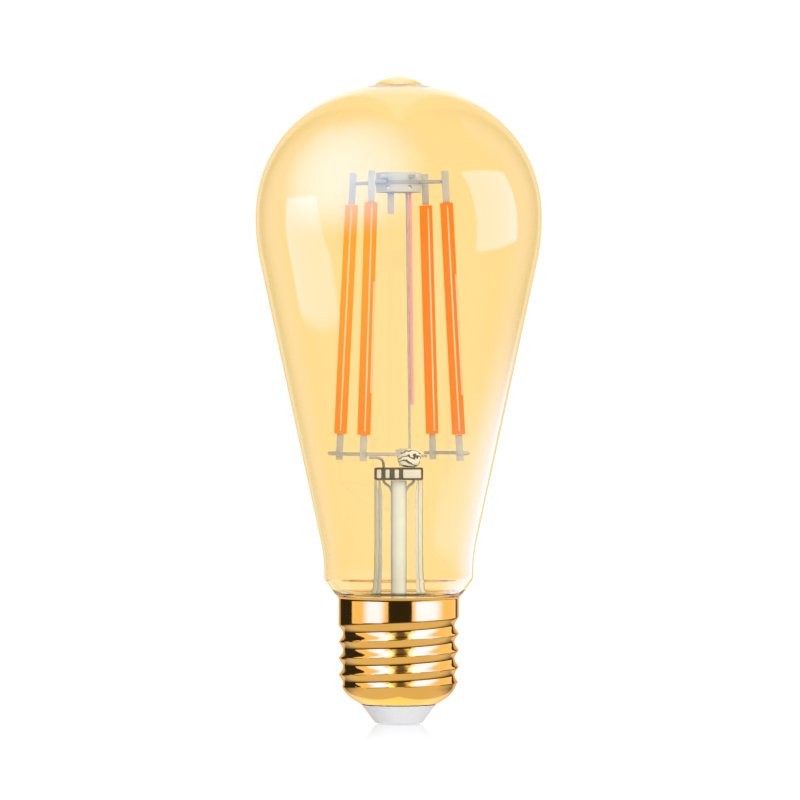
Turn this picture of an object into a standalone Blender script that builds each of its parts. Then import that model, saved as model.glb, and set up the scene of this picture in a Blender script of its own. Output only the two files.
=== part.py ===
"""Filament light bulb with a radio-controlled driver: amber ST-shape glass on an E27 screw cap.

The frame: +Z runs up the bulb's axis, and the origin is the centre of the cap's bottom contact.
The front is -Y. Everything is in metres.
"""

import math

import bmesh
import bpy
from mathutils import Matrix, Vector

mm = 0.001

# Overall sizes
overall_height = 142.0 * mm
bulb_diameter = 63.0 * mm
filament_length = 50.6 * mm

# How closely pieces sit: each touching pair keeps one of these gaps
seat_gap = 0.15 * mm
weld_gap = 0.10 * mm

# How finely round pieces are cut
bulb_sides = 36
tube_sides = 20
small_sides = 12

# Screw cap: an E27 knuckle thread rolled in thin sheet
thread_radius = 13.2 * mm
thread_depth = 0.95 * mm
thread_pitch = 25.4 / 7 * mm
thread_height = 13.4 * mm
thread_start = 180.0
valley_fullness = 0.65
rows_in_a_pitch = 5
run_out_share = 0.35
shell_wall = 0.4 * mm
collar_height = 6.4 * mm
collar_lip = 0.4 * mm
collar_lip_height = 0.7 * mm
cone_height = 3.9 * mm
cone_mouth_radius = 8.3 * mm
cone_bulge = 0.25 * mm

# Insulator and contact at the cap's tip
contact_radius = 4.4 * mm
contact_proud = 0.12 * mm
contact_thickness = 0.45 * mm
contact_edge = 0.2 * mm
contact_pin_radius = 1.1 * mm
contact_pin_head = 0.5 * mm
insulator_height = 4.18 * mm
insulator_tip_radius = 5.4 * mm
insulator_plug_height = 3.2 * mm

# Glass envelope
glass_wall = 1.0 * mm
tip_height = 1.6 * mm
tip_radius = 5.8 * mm
dome_height = 29.6 * mm
dome_fullness = 2.1
belly_radius = 41.6 * mm
waist_step = 3.15 * mm
waist_radius = 36.8 * mm
waist_land = 0.3 * mm
foot_fillet = 1.8 * mm
foot_overhang = 0.6 * mm
foot_slant = 35.0
cement_thickness = 0.7 * mm
neck_depth = 3.6 * mm
cement_below_rim = 1.3 * mm

# Glass stem
stem_radius = 5.35 * mm
stem_wall = 0.9 * mm
flare_thickness = 0.9 * mm
flare_decay = 2.35 * mm
stem_flat_height = 8.0 * mm
stem_flat_share = 0.68
press_height = 2.7 * mm
press_depth = 6.0 * mm
press_edge = 0.5 * mm
exhaust_radius = 1.75 * mm
exhaust_wall = 0.5 * mm
exhaust_tail = 2.4 * mm
bead_radius = 2.7 * mm
bead_flatness = 0.75
bead_height = 4.1 * mm
bead_offset = 2.4 * mm
bead_set_forward = 1.1 * mm

# Wires of the mount
lead_radius = 0.3 * mm
lead_offset = 3.3 * mm
lead_set_back = 1.4 * mm
lead_tuck = (1.2 * mm, 2.15 * mm)
arc_wire_radius = 0.3 * mm
arc_above_press = 3.1 * mm
mast_radius = 0.26 * mm
mast_lean = 0.6 * mm
mast_top_offset = 1.7 * mm
mast_in_bead = 2.6 * mm
sleeved_wire_radius = 0.32 * mm
sleeved_wire_length = 46.5 * mm

# Filaments: four of them round the axis, splayed outwards at their feet
filament_count = 4
first_filament_angle = -30.0
filament_top_ring = 12.0 * mm
filament_foot_ring = 15.0 * mm
coating_radius = 1.42 * mm
coating_bore = (0.80 * mm, 0.55 * mm)
terminal_width = 1.2 * mm
terminal_thickness = 1.1 * mm
terminal_edge = 0.12 * mm
lower_terminal_length = 5.6 * mm
upper_terminal_length = 6.9 * mm
arc_below_coating = 4.2 * mm
arm_above_coating = 4.6 * mm
tongue_length = 2.0 * mm
substrate_width = 0.9 * mm
substrate_thickness = 0.3 * mm
chip_row_width = 0.45 * mm
chip_row_thickness = 0.15 * mm
chip_row_margin = 1.2 * mm

# Hub that joins the filaments' tops
hub_radius = 5.0 * mm
hub_wall = 0.4 * mm
hub_height = 4.4 * mm
hub_above_arms = 2.2 * mm
hub_hole_radius = 0.5 * mm
hub_hole_rows = 2
hub_hole_axes = 3
hub_hole_spacing = 2.3 * mm
belt_wall = 0.4 * mm
belt_height = 0.7 * mm
arm_radius = 0.36 * mm
hub_tab_size = (1.4 * mm, 0.4 * mm, 5.2 * mm)
hub_tab_offset = 1.75 * mm
crown_clearance = 19.45 * mm

# Driver in the cap
sleeve_wall = 0.4 * mm
sleeve_below_collar = 0.8 * mm
board_thickness = 1.0 * mm
board_offset = 3.1 * mm
board_edge_gap = 0.8 * mm
board_lift = 0.6 * mm
board_below_sleeve_top = 0.6 * mm
capacitor_radius = 3.1 * mm
capacitor_length = 8.4 * mm
capacitor_crimp = 0.25 * mm
choke_radius = 2.3 * mm
choke_height = 4.8 * mm
choke_flange = 0.7 * mm
choke_waist = 0.5 * mm
rectifier_size = (4.2 * mm, 1.4 * mm, 3.4 * mm)
driver_chip_size = (4.6 * mm, 1.3 * mm, 3.2 * mm)
chip_edge = 0.2 * mm
chip_edge_room = 2.15 * mm
fuse_radius = 1.0 * mm
fuse_length = 5.4 * mm
fuse_waist = 0.2 * mm
fuse_offset = 7.0 * mm
hook_up_radius = 0.25 * mm
radio_board_size = (11.0 * mm, 0.8 * mm, 10.0 * mm)
radio_shield_size = (8.6 * mm, 1.4 * mm, 5.6 * mm)
antenna_wire_radius = 0.2 * mm
antenna_runs = 7
antenna_size = (8.4 * mm, 2.2 * mm)

# Heights that follow from the sizes above
insulator_bottom = contact_proud
cone_mouth_z = insulator_bottom + insulator_height
thread_bottom_z = cone_mouth_z + cone_height
collar_bottom_z = thread_bottom_z + thread_height
cap_top_z = collar_bottom_z + collar_height
insulator_top_z = cone_mouth_z + insulator_plug_height

collar_bore = thread_radius - shell_wall
root_bore = thread_radius - thread_depth - shell_wall
neck_radius = collar_bore - cement_thickness
neck_bottom_z = cap_top_z - neck_depth
flare_top_z = neck_bottom_z - seat_gap
flare_bottom_z = flare_top_z - flare_thickness

crown_z = overall_height - tip_height
widest_z = crown_z - dome_height
hub_top_z = crown_z - crown_clearance
arms_z = hub_top_z - hub_above_arms
coating_top_z = arms_z - arm_above_coating
coating_bottom_z = coating_top_z - filament_length
arcs_z = coating_bottom_z - arc_below_coating
press_top_z = arcs_z - arc_above_press
press_bottom_z = press_top_z - press_height
stem_top_z = press_bottom_z - weld_gap

sleeve_radius = root_bore - seat_gap
sleeve_bottom_z = insulator_top_z + board_lift
sleeve_top_z = collar_bottom_z - sleeve_below_collar
board_bottom_z = sleeve_bottom_z + board_lift
board_top_z = sleeve_top_z - board_below_sleeve_top
board_front_y = board_offset - board_thickness / 2
board_back_y = board_offset + board_thickness / 2


def clear_scene():
    for found in list(bpy.data.objects):
        bpy.data.objects.remove(found)


def make_material(name, colour, roughness, metallic=0.0, transmission=0.0, glow=0.0):
    material = bpy.data.materials.new(name)
    material.use_nodes = True
    shader = material.node_tree.nodes["Principled BSDF"]
    shader.inputs["Base Color"].default_value = (*colour, 1.0)
    shader.inputs["Roughness"].default_value = roughness
    shader.inputs["Metallic"].default_value = metallic
    shader.inputs["Transmission Weight"].default_value = transmission
    if glow:
        shader.inputs["Emission Color"].default_value = (*colour, 1.0)
        shader.inputs["Emission Strength"].default_value = glow
    return material


def make_materials():
    return {
        "amber_glass": make_material("amber_glass", (1.0, 0.76, 0.36), 0.03, transmission=1.0),
        "clear_glass": make_material("clear_glass", (0.94, 0.95, 0.93), 0.05, transmission=1.0),
        "milk_glass": make_material("milk_glass", (0.92, 0.90, 0.85), 0.2),
        "gold_plate": make_material("gold_plate", (0.93, 0.62, 0.18), 0.15, metallic=1.0),
        "white_plastic": make_material("white_plastic", (0.88, 0.88, 0.88), 0.35),
        "nickel": make_material("nickel", (0.66, 0.65, 0.62), 0.3, metallic=1.0),
        "wire_steel": make_material("wire_steel", (0.62, 0.61, 0.58), 0.35, metallic=1.0),
        "pink_sleeve": make_material("pink_sleeve", (0.95, 0.45, 0.62), 0.4),
        "phosphor": make_material("phosphor", (1.0, 0.36, 0.04), 0.5, glow=1.0),
        "chip_row": make_material("chip_row", (1.0, 0.86, 0.62), 0.4, glow=2.0),
        "ceramic": make_material("ceramic", (0.85, 0.83, 0.78), 0.5),
        "cement": make_material("cement", (0.72, 0.70, 0.64), 0.9),
        "sleeve_film": make_material("sleeve_film", (0.80, 0.80, 0.74), 0.5),
        "board_green": make_material("board_green", (0.05, 0.28, 0.12), 0.45),
        "radio_black": make_material("radio_black", (0.03, 0.04, 0.06), 0.45),
        "chip_black": make_material("chip_black", (0.03, 0.03, 0.03), 0.5),
        "shield_tin": make_material("shield_tin", (0.70, 0.70, 0.68), 0.35, metallic=1.0),
        "can_sleeve": make_material("can_sleeve", (0.06, 0.10, 0.30), 0.4),
        "ferrite": make_material("ferrite", (0.10, 0.09, 0.09), 0.7),
        "fuse_body": make_material("fuse_body", (0.12, 0.38, 0.42), 0.5),
        "copper": make_material("copper", (0.86, 0.45, 0.25), 0.35, metallic=1.0),
        "wire_red": make_material("wire_red", (0.60, 0.06, 0.05), 0.45),
        "wire_blue": make_material("wire_blue", (0.06, 0.18, 0.55), 0.45),
    }


def add_object(name, data, material, parent=None):
    made = bpy.data.objects.new(name, data)
    made.data.materials.append(material)
    bpy.context.scene.collection.objects.link(made)
    made.parent = parent
    return made


def finish_mesh(name, bm, material, parent=None, smooth_angle=40.0):
    """Turns a bmesh into an object whose faces point out and whose round faces are smooth."""
    bmesh.ops.remove_doubles(bm, verts=bm.verts, dist=1e-7)
    bmesh.ops.recalc_face_normals(bm, faces=bm.faces)
    mesh = bpy.data.meshes.new(name)
    bm.to_mesh(mesh)
    bm.free()
    mesh.shade_smooth()
    mesh.set_sharp_from_angle(angle=math.radians(smooth_angle))
    return add_object(name, mesh, material, parent)


def spun_bmesh(outline, sides):
    """A solid of revolution about Z. The outline is a list of (radius, height) points, which
    runs round the section, or from the axis to the axis where the piece has no bore."""
    bm = bmesh.new()
    corners = [bm.verts.new((radius, 0.0, z)) for radius, z in outline]
    edges = [bm.edges.new(pair) for pair in zip(corners, corners[1:])]
    if outline[0][0] > 0 or outline[-1][0] > 0:
        edges.append(bm.edges.new((corners[-1], corners[0])))
    bmesh.ops.spin(
        bm,
        geom=corners + edges,
        cent=(0.0, 0.0, 0.0),
        axis=(0.0, 0.0, 1.0),
        angle=2 * math.pi,
        steps=sides,
        use_merge=True,
    )
    return bm


def spun(name, outline, material, sides=tube_sides, parent=None, location=(0.0, 0.0, 0.0)):
    made = finish_mesh(name, spun_bmesh(outline, sides), material, parent)
    made.location = location
    return made


def ring_outline(inner_radius, outer_radius, bottom_z, top_z):
    return [
        (outer_radius, bottom_z),
        (outer_radius, top_z),
        (inner_radius, top_z),
        (inner_radius, bottom_z),
    ]


def block(name, size, centre, material, parent=None, edge=0.0):
    """A box of that size, with its edges rounded by a Bevel modifier if edge is given."""
    bm = bmesh.new()
    bmesh.ops.create_cube(bm, size=1.0, matrix=Matrix.Diagonal((*size, 1.0)))
    made = finish_mesh(name, bm, material, parent)
    made.location = centre
    if edge:
        bevel = made.modifiers.new("Rounded edges", "BEVEL")
        bevel.width = edge
        bevel.segments = 2
    return made


def cutter(name, radius, depth, location, direction, parent=None):
    """A helper cylinder for a Boolean, along direction and centred on location."""
    bm = bmesh.new()
    bmesh.ops.create_cone(
        bm,
        cap_ends=True,
        segments=small_sides,
        radius1=radius,
        radius2=radius,
        depth=depth,
    )
    mesh = bpy.data.meshes.new(name)
    bm.to_mesh(mesh)
    bm.free()
    made = bpy.data.objects.new(name, mesh)
    bpy.context.scene.collection.objects.link(made)
    made.parent = parent
    made.location = location
    made.rotation_mode = "QUATERNION"
    made.rotation_quaternion = Vector(direction).to_track_quat("Z", "Y")
    made.hide_render = True
    made.display_type = "WIRE"
    return made


def cut(target, tool):
    modifier = target.modifiers.new(tool.name, "BOOLEAN")
    modifier.operation = "DIFFERENCE"
    modifier.solver = "EXACT"
    modifier.object = tool


def smooth_route(points, steps):
    """Points on a smooth curve through the route's own points, steps of them to each stretch."""
    knots = [Vector(p) for p in points]
    knots = [2 * knots[0] - knots[1], *knots, 2 * knots[-1] - knots[-2]]
    route = []
    for before, start, end, after in zip(knots, knots[1:], knots[2:], knots[3:]):
        for step in range(steps):
            t = step / steps
            route.append(
                0.5
                * (
                    2 * start
                    + (end - before) * t
                    + (2 * before - 5 * start + 4 * end - after) * t**2
                    + (3 * start - before - 3 * end + after) * t**3
                )
            )
    return [*route, knots[-2]]


def wire(name, points, radius, material):
    """A round wire along the points, as a bevelled curve with filled ends."""
    curve = bpy.data.curves.new(name, "CURVE")
    curve.dimensions = "3D"
    curve.bevel_depth = radius
    curve.bevel_resolution = 2
    curve.use_fill_caps = True
    spline = curve.splines.new("POLY")
    spline.points.add(len(points) - 1)
    for corner, place in zip(spline.points, points):
        corner.co = (*place, 1.0)
    return add_object(name, curve, material)


def on_circle(radius, degrees, z):
    angle = math.radians(degrees)
    return Vector((radius * math.cos(angle), radius * math.sin(angle), z))


def ease(share):
    """A smooth step from 0 to 1 as share goes from 0 to 1."""
    held = min(max(share, 0.0), 1.0)
    return held * held * (3 - 2 * held)


# Screw cap


def cone_radius(z):
    """The cap's outer radius on the cone that closes in below the thread."""
    share = min(max((z - cone_mouth_z) / cone_height, 0.0), 1.0)
    widest = thread_radius - thread_depth + cone_bulge
    straight = cone_mouth_radius + (widest - cone_mouth_radius) * share
    return straight + cone_bulge * math.sin(math.pi * share)


def groove_depth(angle, z):
    """How far the rolled groove goes in from the crest. Its top turn runs out into the collar."""
    turn = ((angle - math.radians(thread_start)) / (2 * math.pi)) % 1
    along = (collar_bottom_z - z) / thread_pitch + turn
    if along < 0:
        return 0.0
    valley = (0.5 - 0.5 * math.cos(2 * math.pi * along)) ** valley_fullness
    first_turn = along < 1
    run_out = ease((1 - turn) / run_out_share) if first_turn else 1.0
    return thread_depth * valley * run_out


def shell_radius(angle, z):
    if z >= collar_bottom_z + thread_pitch:
        rise = (z - (cap_top_z - collar_lip_height)) / collar_lip_height
        return thread_radius + collar_lip * ease(rise)
    threaded = thread_radius - groove_depth(angle, z)
    if z < thread_bottom_z + thread_pitch:
        slope = (z - thread_bottom_z) / thread_pitch
        if slope < 0:
            return min(threaded, cone_radius(z))
        return min(threaded, cone_radius(thread_bottom_z) + thread_depth * 2 * slope)
    return threaded


def make_screw_shell(materials):
    """The thin shell: rows of points up its outside and down its inside are spun round, and
    then each point is moved to the radius that the rolled thread has there."""
    cone_rows = 3
    thread_rows = math.ceil(
        (thread_height + thread_pitch) / thread_pitch * rows_in_a_pitch
    )
    groove_top_z = collar_bottom_z + thread_pitch
    heights = [cone_mouth_z + cone_height * row / cone_rows for row in range(cone_rows)]
    heights += [
        thread_bottom_z + (groove_top_z - thread_bottom_z) * row / thread_rows
        for row in range(thread_rows + 1)
    ]
    lip_bottom_z = cap_top_z - collar_lip_height
    heights += [lip_bottom_z, (lip_bottom_z + cap_top_z) / 2, cap_top_z]
    outside = [(thread_radius, z) for z in heights]
    inside = [(thread_radius - shell_wall, z) for z in reversed(heights)]
    bm = spun_bmesh(outside + inside, bulb_sides)
    for corner in bm.verts:
        angle = math.atan2(corner.co.y, corner.co.x) % (2 * math.pi)
        is_inside = corner.co.xy.length < thread_radius - shell_wall / 2
        radius = shell_radius(angle, corner.co.z)
        if is_inside:
            radius -= shell_wall * (math.sqrt(2) if corner.co.z < thread_bottom_z else 1)
        corner.co.x = radius * math.cos(angle)
        corner.co.y = radius * math.sin(angle)
    finish_mesh("screw_shell", bm, materials["gold_plate"])


def make_cap_insulator(materials):
    """White plug in the cap's mouth: a cone below the shell with a pocket for the contact, a
    waist through the mouth and a flange that follows the inside of the shell's cone."""
    bore = contact_pin_radius + seat_gap
    wall_across = shell_wall * math.sqrt(2)
    mouth_bore = cone_mouth_radius - wall_across
    flange_gap = seat_gap * 2
    flange_bottom_z = cone_mouth_z + shell_wall + seat_gap
    flange_radius = cone_radius(insulator_top_z) - wall_across - flange_gap
    seat_z = contact_thickness + weld_gap
    outline = [
        (bore, seat_z),
        (contact_radius + seat_gap, seat_z),
        (contact_radius + seat_gap, insulator_bottom),
        (insulator_tip_radius - chip_edge, insulator_bottom),
        (insulator_tip_radius, insulator_bottom + chip_edge),
        (cone_mouth_radius - seat_gap, cone_mouth_z - seat_gap),
        (mouth_bore - seat_gap, cone_mouth_z - seat_gap),
        (mouth_bore - seat_gap, flange_bottom_z),
        (flange_radius, insulator_top_z - chip_edge),
        (flange_radius - chip_edge, insulator_top_z),
        (bore, insulator_top_z),
    ]
    spun("cap_insulator", outline, materials["white_plastic"], bulb_sides)


def make_centre_contact(materials):
    pin_top_z = insulator_top_z + contact_pin_head
    outline = [
        (0.0, 0.0),
        (contact_radius - contact_edge, 0.0),
        (contact_radius, contact_edge),
        (contact_radius, contact_thickness),
        (contact_pin_radius, contact_thickness),
        (contact_pin_radius, pin_top_z - contact_edge),
        (contact_pin_radius - contact_edge, pin_top_z),
        (0.0, pin_top_z),
    ]
    spun("centre_contact", outline, materials["nickel"], bulb_sides)


# Glass


def envelope_side(inset):
    """The envelope's outline from the top of its dome to the bottom of its neck, as an offset
    of the outer outline. The taper is the line that touches both the belly and the waist arc.
    Below the waist a slant leads in to a ledge over the cap's rim."""
    widest = bulb_diameter / 2 - inset
    waist = thread_radius + waist_step

    slant = math.radians(foot_slant)
    foot_r = thread_radius + foot_overhang
    ledge_z = cap_top_z + seat_gap
    corner_z = ledge_z + (waist - foot_r) / math.tan(slant)
    fillet_top_z = corner_z + foot_fillet * math.tan(slant / 2)
    waist_z = fillet_top_z + waist_land
    drop = widest_z - waist_z

    both = belly_radius + waist_radius
    across = both - (bulb_diameter / 2 - waist)
    lean = math.atan2(drop, across) - math.acos(both / math.hypot(across, drop))

    side = []
    for angle in arc_steps(math.radians(90), 0.0, 9)[:-1]:
        side.append(
            (
                widest * math.cos(angle) ** (2 / dome_fullness),
                widest_z + (dome_height - inset) * math.sin(angle) ** (2 / dome_fullness),
            )
        )
    belly = belly_radius - inset
    for angle in arc_steps(0.0, lean, 2):
        side.append(
            (
                widest - belly + belly * math.cos(angle),
                widest_z - belly * math.sin(angle),
            )
        )
    hollow = waist_radius + inset
    for angle in arc_steps(lean, 0.0, 2):
        side.append(
            (
                waist + waist_radius - hollow * math.cos(angle),
                waist_z + hollow * math.sin(angle),
            )
        )
    fillet = foot_fillet - inset
    for angle in arc_steps(0.0, slant, 2):
        side.append(
            (
                waist - foot_fillet + fillet * math.cos(angle),
                fillet_top_z - fillet * math.sin(angle),
            )
        )
    neck = neck_radius - inset
    side.append((foot_r - inset * (1 - math.sin(slant)) / math.cos(slant), ledge_z + inset))
    side.append((neck, ledge_z + inset))
    side.append((neck, neck_bottom_z))
    return side


def arc_steps(start, end, count):
    return [start + (end - start) * step / count for step in range(count + 1)]


def make_glass_envelope(materials):
    """Outer and inner side of the envelope, with the closed-off tip on the crown."""
    outer = [p for p in envelope_side(0.0) if p[0] > tip_radius]
    tip_base_share = (tip_radius / (bulb_diameter / 2)) ** dome_fullness
    tip_base_z = widest_z + dome_height * (1 - tip_base_share) ** (1 / dome_fullness)
    rise = overall_height - tip_base_z
    tip_arc = (tip_radius**2 + rise**2) / (2 * rise)
    tip = [
        (tip_arc * math.sin(angle), overall_height - tip_arc * (1 - math.cos(angle)))
        for angle in arc_steps(0.0, math.asin(tip_radius / tip_arc), 3)
    ]
    inner = envelope_side(glass_wall)
    inner[0] = (0.0, inner[0][1])
    spun(
        "glass_envelope",
        tip + outer + inner[::-1],
        materials["amber_glass"],
        bulb_sides,
    )


def stem_outer_radius(z):
    flare = (neck_radius - stem_radius) * math.exp(-(z - flare_bottom_z) / flare_decay)
    return stem_radius + flare


def make_stem_tube(materials):
    """The flared glass tube that closes the neck. Its top is pressed flat, front to back."""
    flat_bottom_z = max(stem_top_z - stem_flat_height, flare_top_z + flare_decay)
    flare_rows = [flare_top_z + flare_decay * step / 2 for step in range(7)]
    press_rows = arc_steps(flat_bottom_z, stem_top_z, 4)
    rows = [z for z in flare_rows if z < flat_bottom_z] + press_rows
    rim_inner_radius = neck_radius - glass_wall - 2 * seat_gap
    outer = [
        (neck_radius, flare_bottom_z),
        (neck_radius, flare_top_z),
        (rim_inner_radius, flare_top_z),
    ]
    outer += [(stem_outer_radius(z), z) for z in rows[1:]]
    inner = [
        (stem_outer_radius(z) - stem_wall, z - flare_thickness * (z < flat_bottom_z))
        for z in reversed(rows[1:])
    ]
    bm = spun_bmesh(outer + inner, tube_sides)
    for corner in bm.verts:
        share = (corner.co.z - flat_bottom_z) / (stem_top_z - flat_bottom_z)
        corner.co.y *= 1 - (1 - stem_flat_share) * ease(share)
    finish_mesh("stem_tube", bm, materials["clear_glass"])


def make_stem_press(materials):
    """The pressed seal on top of the stem, with a bore for each lead wire."""
    size = (2 * stem_radius, press_depth, press_height)
    centre = (0.0, 0.0, press_bottom_z + press_height / 2)
    press = block("stem_press", size, centre, materials["clear_glass"], edge=press_edge)
    for side, name in ((-1, "left"), (1, "right")):
        tool = cutter(
            f"cut_press_{name}",
            lead_radius + 2 * weld_gap,
            press_height * 2,
            (side * lead_offset, lead_set_back, centre[2]),
            (0, 0, 1),
        )
        cut(press, tool)


def make_exhaust_tube(materials):
    """The tube that the bulb was pumped and filled through, sealed off at its lower end."""
    bottom_z = flare_bottom_z - exhaust_tail
    top_z = stem_top_z - weld_gap
    bore = exhaust_radius - exhaust_wall
    outline = [
        (0.0, bottom_z),
        (exhaust_radius * 0.6, bottom_z + exhaust_wall * 0.5),
        (exhaust_radius, bottom_z + exhaust_radius),
        (exhaust_radius, top_z),
        (bore, top_z),
        (bore, bottom_z + exhaust_radius + exhaust_wall),
        (0.0, bottom_z + exhaust_radius),
    ]
    spun("exhaust_tube", outline, materials["milk_glass"])


def make_glass_bead(materials):
    """The glass button on the press that holds the mast."""
    bottom_z = press_top_z + weld_gap
    bore = mast_radius + weld_gap
    blind_z = bottom_z + bead_height - mast_in_bead - weld_gap
    shoulder = bead_height * 0.3
    outline = [
        (0.0, bottom_z),
        (bead_radius * 0.86, bottom_z),
        (bead_radius, bottom_z + shoulder),
        (bead_radius * 0.97, bottom_z + bead_height - shoulder),
        (bead_radius * 0.7, bottom_z + bead_height * 0.94),
        (bore * 2, bottom_z + bead_height),
        (bore, bottom_z + bead_height * 0.97),
        (bore, blind_z),
        (0.0, blind_z),
    ]
    bm = spun_bmesh(outline, tube_sides)
    for corner in bm.verts:
        if corner.co.xy.length > bore * 1.5:
            corner.co.y *= bead_flatness
    bead = finish_mesh("glass_bead", bm, materials["clear_glass"])
    bead.location = (bead_offset, -bead_set_forward, 0.0)


def make_neck_cement(materials):
    outline = ring_outline(
        neck_radius + seat_gap,
        collar_bore - seat_gap,
        neck_bottom_z,
        cap_top_z - cement_below_rim,
    )
    spun("neck_cement", outline, materials["cement"], bulb_sides)


# Mount: leads, arcs, mast and hub


def ring_radius(z):
    """The radius of the circle that the filaments' axes pass through at height z."""
    share = (z - coating_bottom_z) / filament_length
    return filament_foot_ring + (filament_top_ring - filament_foot_ring) * share


def make_lower_arcs(materials):
    """Two quarter hoops, each of which joins the feet of one pair of filaments."""
    spans = {"right": (-34.0, 68.0), "left": (146.0, 268.0)}
    for name, (start, end) in spans.items():
        count = round((end - start) / 6)
        points = [on_circle(ring_radius(arcs_z), a, arcs_z) for a in arc_steps(start, end, count)]
        wire(f"lower_arc_{name}", points, arc_wire_radius, materials["wire_steel"])


def make_lead_wires(materials):
    """Each lead goes from the driver board up the stem, through the press and out to its arc."""
    under_arc = arc_wire_radius + lead_radius + weld_gap
    meets = {"left": (-1, 246.0), "right": (1, 66.0)}
    for name, (side, degrees) in meets.items():
        end = on_circle(ring_radius(arcs_z), degrees, arcs_z - under_arc)
        x = side * lead_offset
        rise = end.z - press_top_z
        points = [
            (side * board_offset * 1.2, board_offset, board_top_z + lead_radius + weld_gap),
            (x, (board_offset + lead_set_back) / 2, flare_bottom_z),
            (side * lead_tuck[0], lead_tuck[1], flare_top_z + flare_decay * 2),
            (side * lead_tuck[0], lead_tuck[1], press_bottom_z - press_height * 1.7),
            (x, lead_set_back, press_bottom_z - lead_radius),
            (x, lead_set_back, press_top_z + weld_gap),
            (x * 1.1, lead_set_back + (end.y - lead_set_back) * 0.12, press_top_z + rise * 0.7),
            ((x + end.x) / 2, end.y * 0.6, end.z),
            end,
        ]
        wire(f"lead_wire_{name}", smooth_route(points, 3), lead_radius, materials["nickel"])


def make_mast(materials):
    """The wire that carries the hub, and the sleeved wire that lies along its upper part."""
    mast_top = Vector((mast_top_offset, -bead_set_forward, hub_top_z - hub_wall - weld_gap))
    bead_top_z = press_top_z + weld_gap + bead_height
    mast_foot = Vector((bead_offset, -bead_set_forward, bead_top_z - mast_in_bead))
    bead_top = Vector((bead_offset, -bead_set_forward, bead_top_z + mast_in_bead))
    wire("mast_wire", [mast_foot, bead_top, mast_top], mast_radius, materials["wire_steel"])

    hub_bottom_z = hub_top_z - hub_height
    beside = mast_radius + sleeved_wire_radius + weld_gap
    slope = (bead_top - mast_top) / (mast_top.z - bead_top.z)
    start = mast_top + slope * (mast_top.z - hub_bottom_z) + Vector((beside, 0.0, 0.0))
    end = start + slope * sleeved_wire_length
    wire("sleeved_wire", [start, end], sleeved_wire_radius, materials["pink_sleeve"])


def make_hub(materials):
    """A perforated can that the tops of the filaments meet at, with a hoop round it for the
    four arms, and a tab below it."""
    bottom_z = hub_top_z - hub_height
    bore = hub_radius - hub_wall
    outline = [
        (0.0, hub_top_z),
        (hub_radius, hub_top_z),
        (hub_radius, bottom_z),
        (bore, bottom_z),
        (bore, hub_top_z - hub_wall),
        (0.0, hub_top_z - hub_wall),
    ]
    hub = spun("top_hub", outline, materials["nickel"])
    for row in range(hub_hole_rows):
        side = 2 * row - 1
        z = arms_z + side * hub_hole_spacing / hub_hole_rows
        for axis in range(hub_hole_axes):
            direction = on_circle(1.0, 60.0 + 180.0 * axis / hub_hole_axes, 0.0)
            tool = cutter(
                f"cut_hub_{row}_{axis}",
                hub_hole_radius,
                hub_radius * 3,
                (0.0, 0.0, z),
                direction,
            )
            cut(hub, tool)

    belt_bore = hub_radius + weld_gap
    outline = ring_outline(
        belt_bore, belt_bore + belt_wall, arms_z - belt_height / 2, arms_z + belt_height / 2
    )
    spun("hub_belt", outline, materials["nickel"])

    width, thickness, length = hub_tab_size
    centre = (-hub_tab_offset, -bore / 2, bottom_z + hub_wall - length / 2)
    block("hub_tab", (width, thickness, length), centre, materials["nickel"])

    for number in range(filament_count):
        degrees = first_filament_angle + 360.0 / filament_count * number
        reach = ring_radius(arms_z) - terminal_thickness / 2 - 2 * weld_gap
        start = on_circle(belt_bore + belt_wall + weld_gap, degrees, arms_z)
        end = on_circle(reach, degrees, arms_z)
        wire(f"hub_arm_{number + 1}", [start, end], arm_radius, materials["wire_steel"])


# Filaments


def make_terminal(name, length, bottom_z, tongue_up, material, parent):
    """An end terminal: a square post with a tongue on one end that enters the coating."""
    size = (terminal_width, terminal_thickness, length)
    bm = bmesh.new()
    bmesh.ops.create_cube(bm, size=1.0, matrix=Matrix.Diagonal((*size, 1.0)))
    way = 1 if tongue_up else -1
    end = [face for face in bm.faces if face.normal.z * way > 0.5]
    bmesh.ops.inset_region(bm, faces=end, thickness=0.1 * mm, use_even_offset=True)
    for corner in end[0].verts:
        corner.co.x = math.copysign(substrate_width / 2, corner.co.x)
        corner.co.y = math.copysign(substrate_thickness / 2, corner.co.y)
    grown = bmesh.ops.extrude_discrete_faces(bm, faces=end)["faces"]
    bmesh.ops.translate(bm, verts=grown[0].verts, vec=(0.0, 0.0, way * tongue_length))
    bmesh.ops.translate(bm, verts=bm.verts, vec=(0.0, 0.0, bottom_z + length / 2))
    return finish_mesh(name, bm, material, parent)


def make_coating(name, material, parent):
    """The silicone and phosphor that covers the strip: a round bar with a flat bore."""
    bm = bmesh.new()
    rings = []
    for radii, z in (
        ((coating_radius, coating_radius), 0.0),
        ((coating_radius, coating_radius), filament_length),
        (coating_bore, filament_length),
        (coating_bore, 0.0),
    ):
        angles = arc_steps(0.0, 2 * math.pi, small_sides)[:-1]
        places = [(radii[0] * math.cos(a), radii[1] * math.sin(a), z) for a in angles]
        rings.append([bm.verts.new(place) for place in places])
    for ring, next_ring in zip(rings, rings[1:] + rings[:1]):
        side = zip(ring, ring[1:] + ring[:1], next_ring[1:] + next_ring[:1], next_ring)
        for corners in side:
            bm.faces.new(corners)
    return finish_mesh(name, bm, material, parent)


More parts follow.
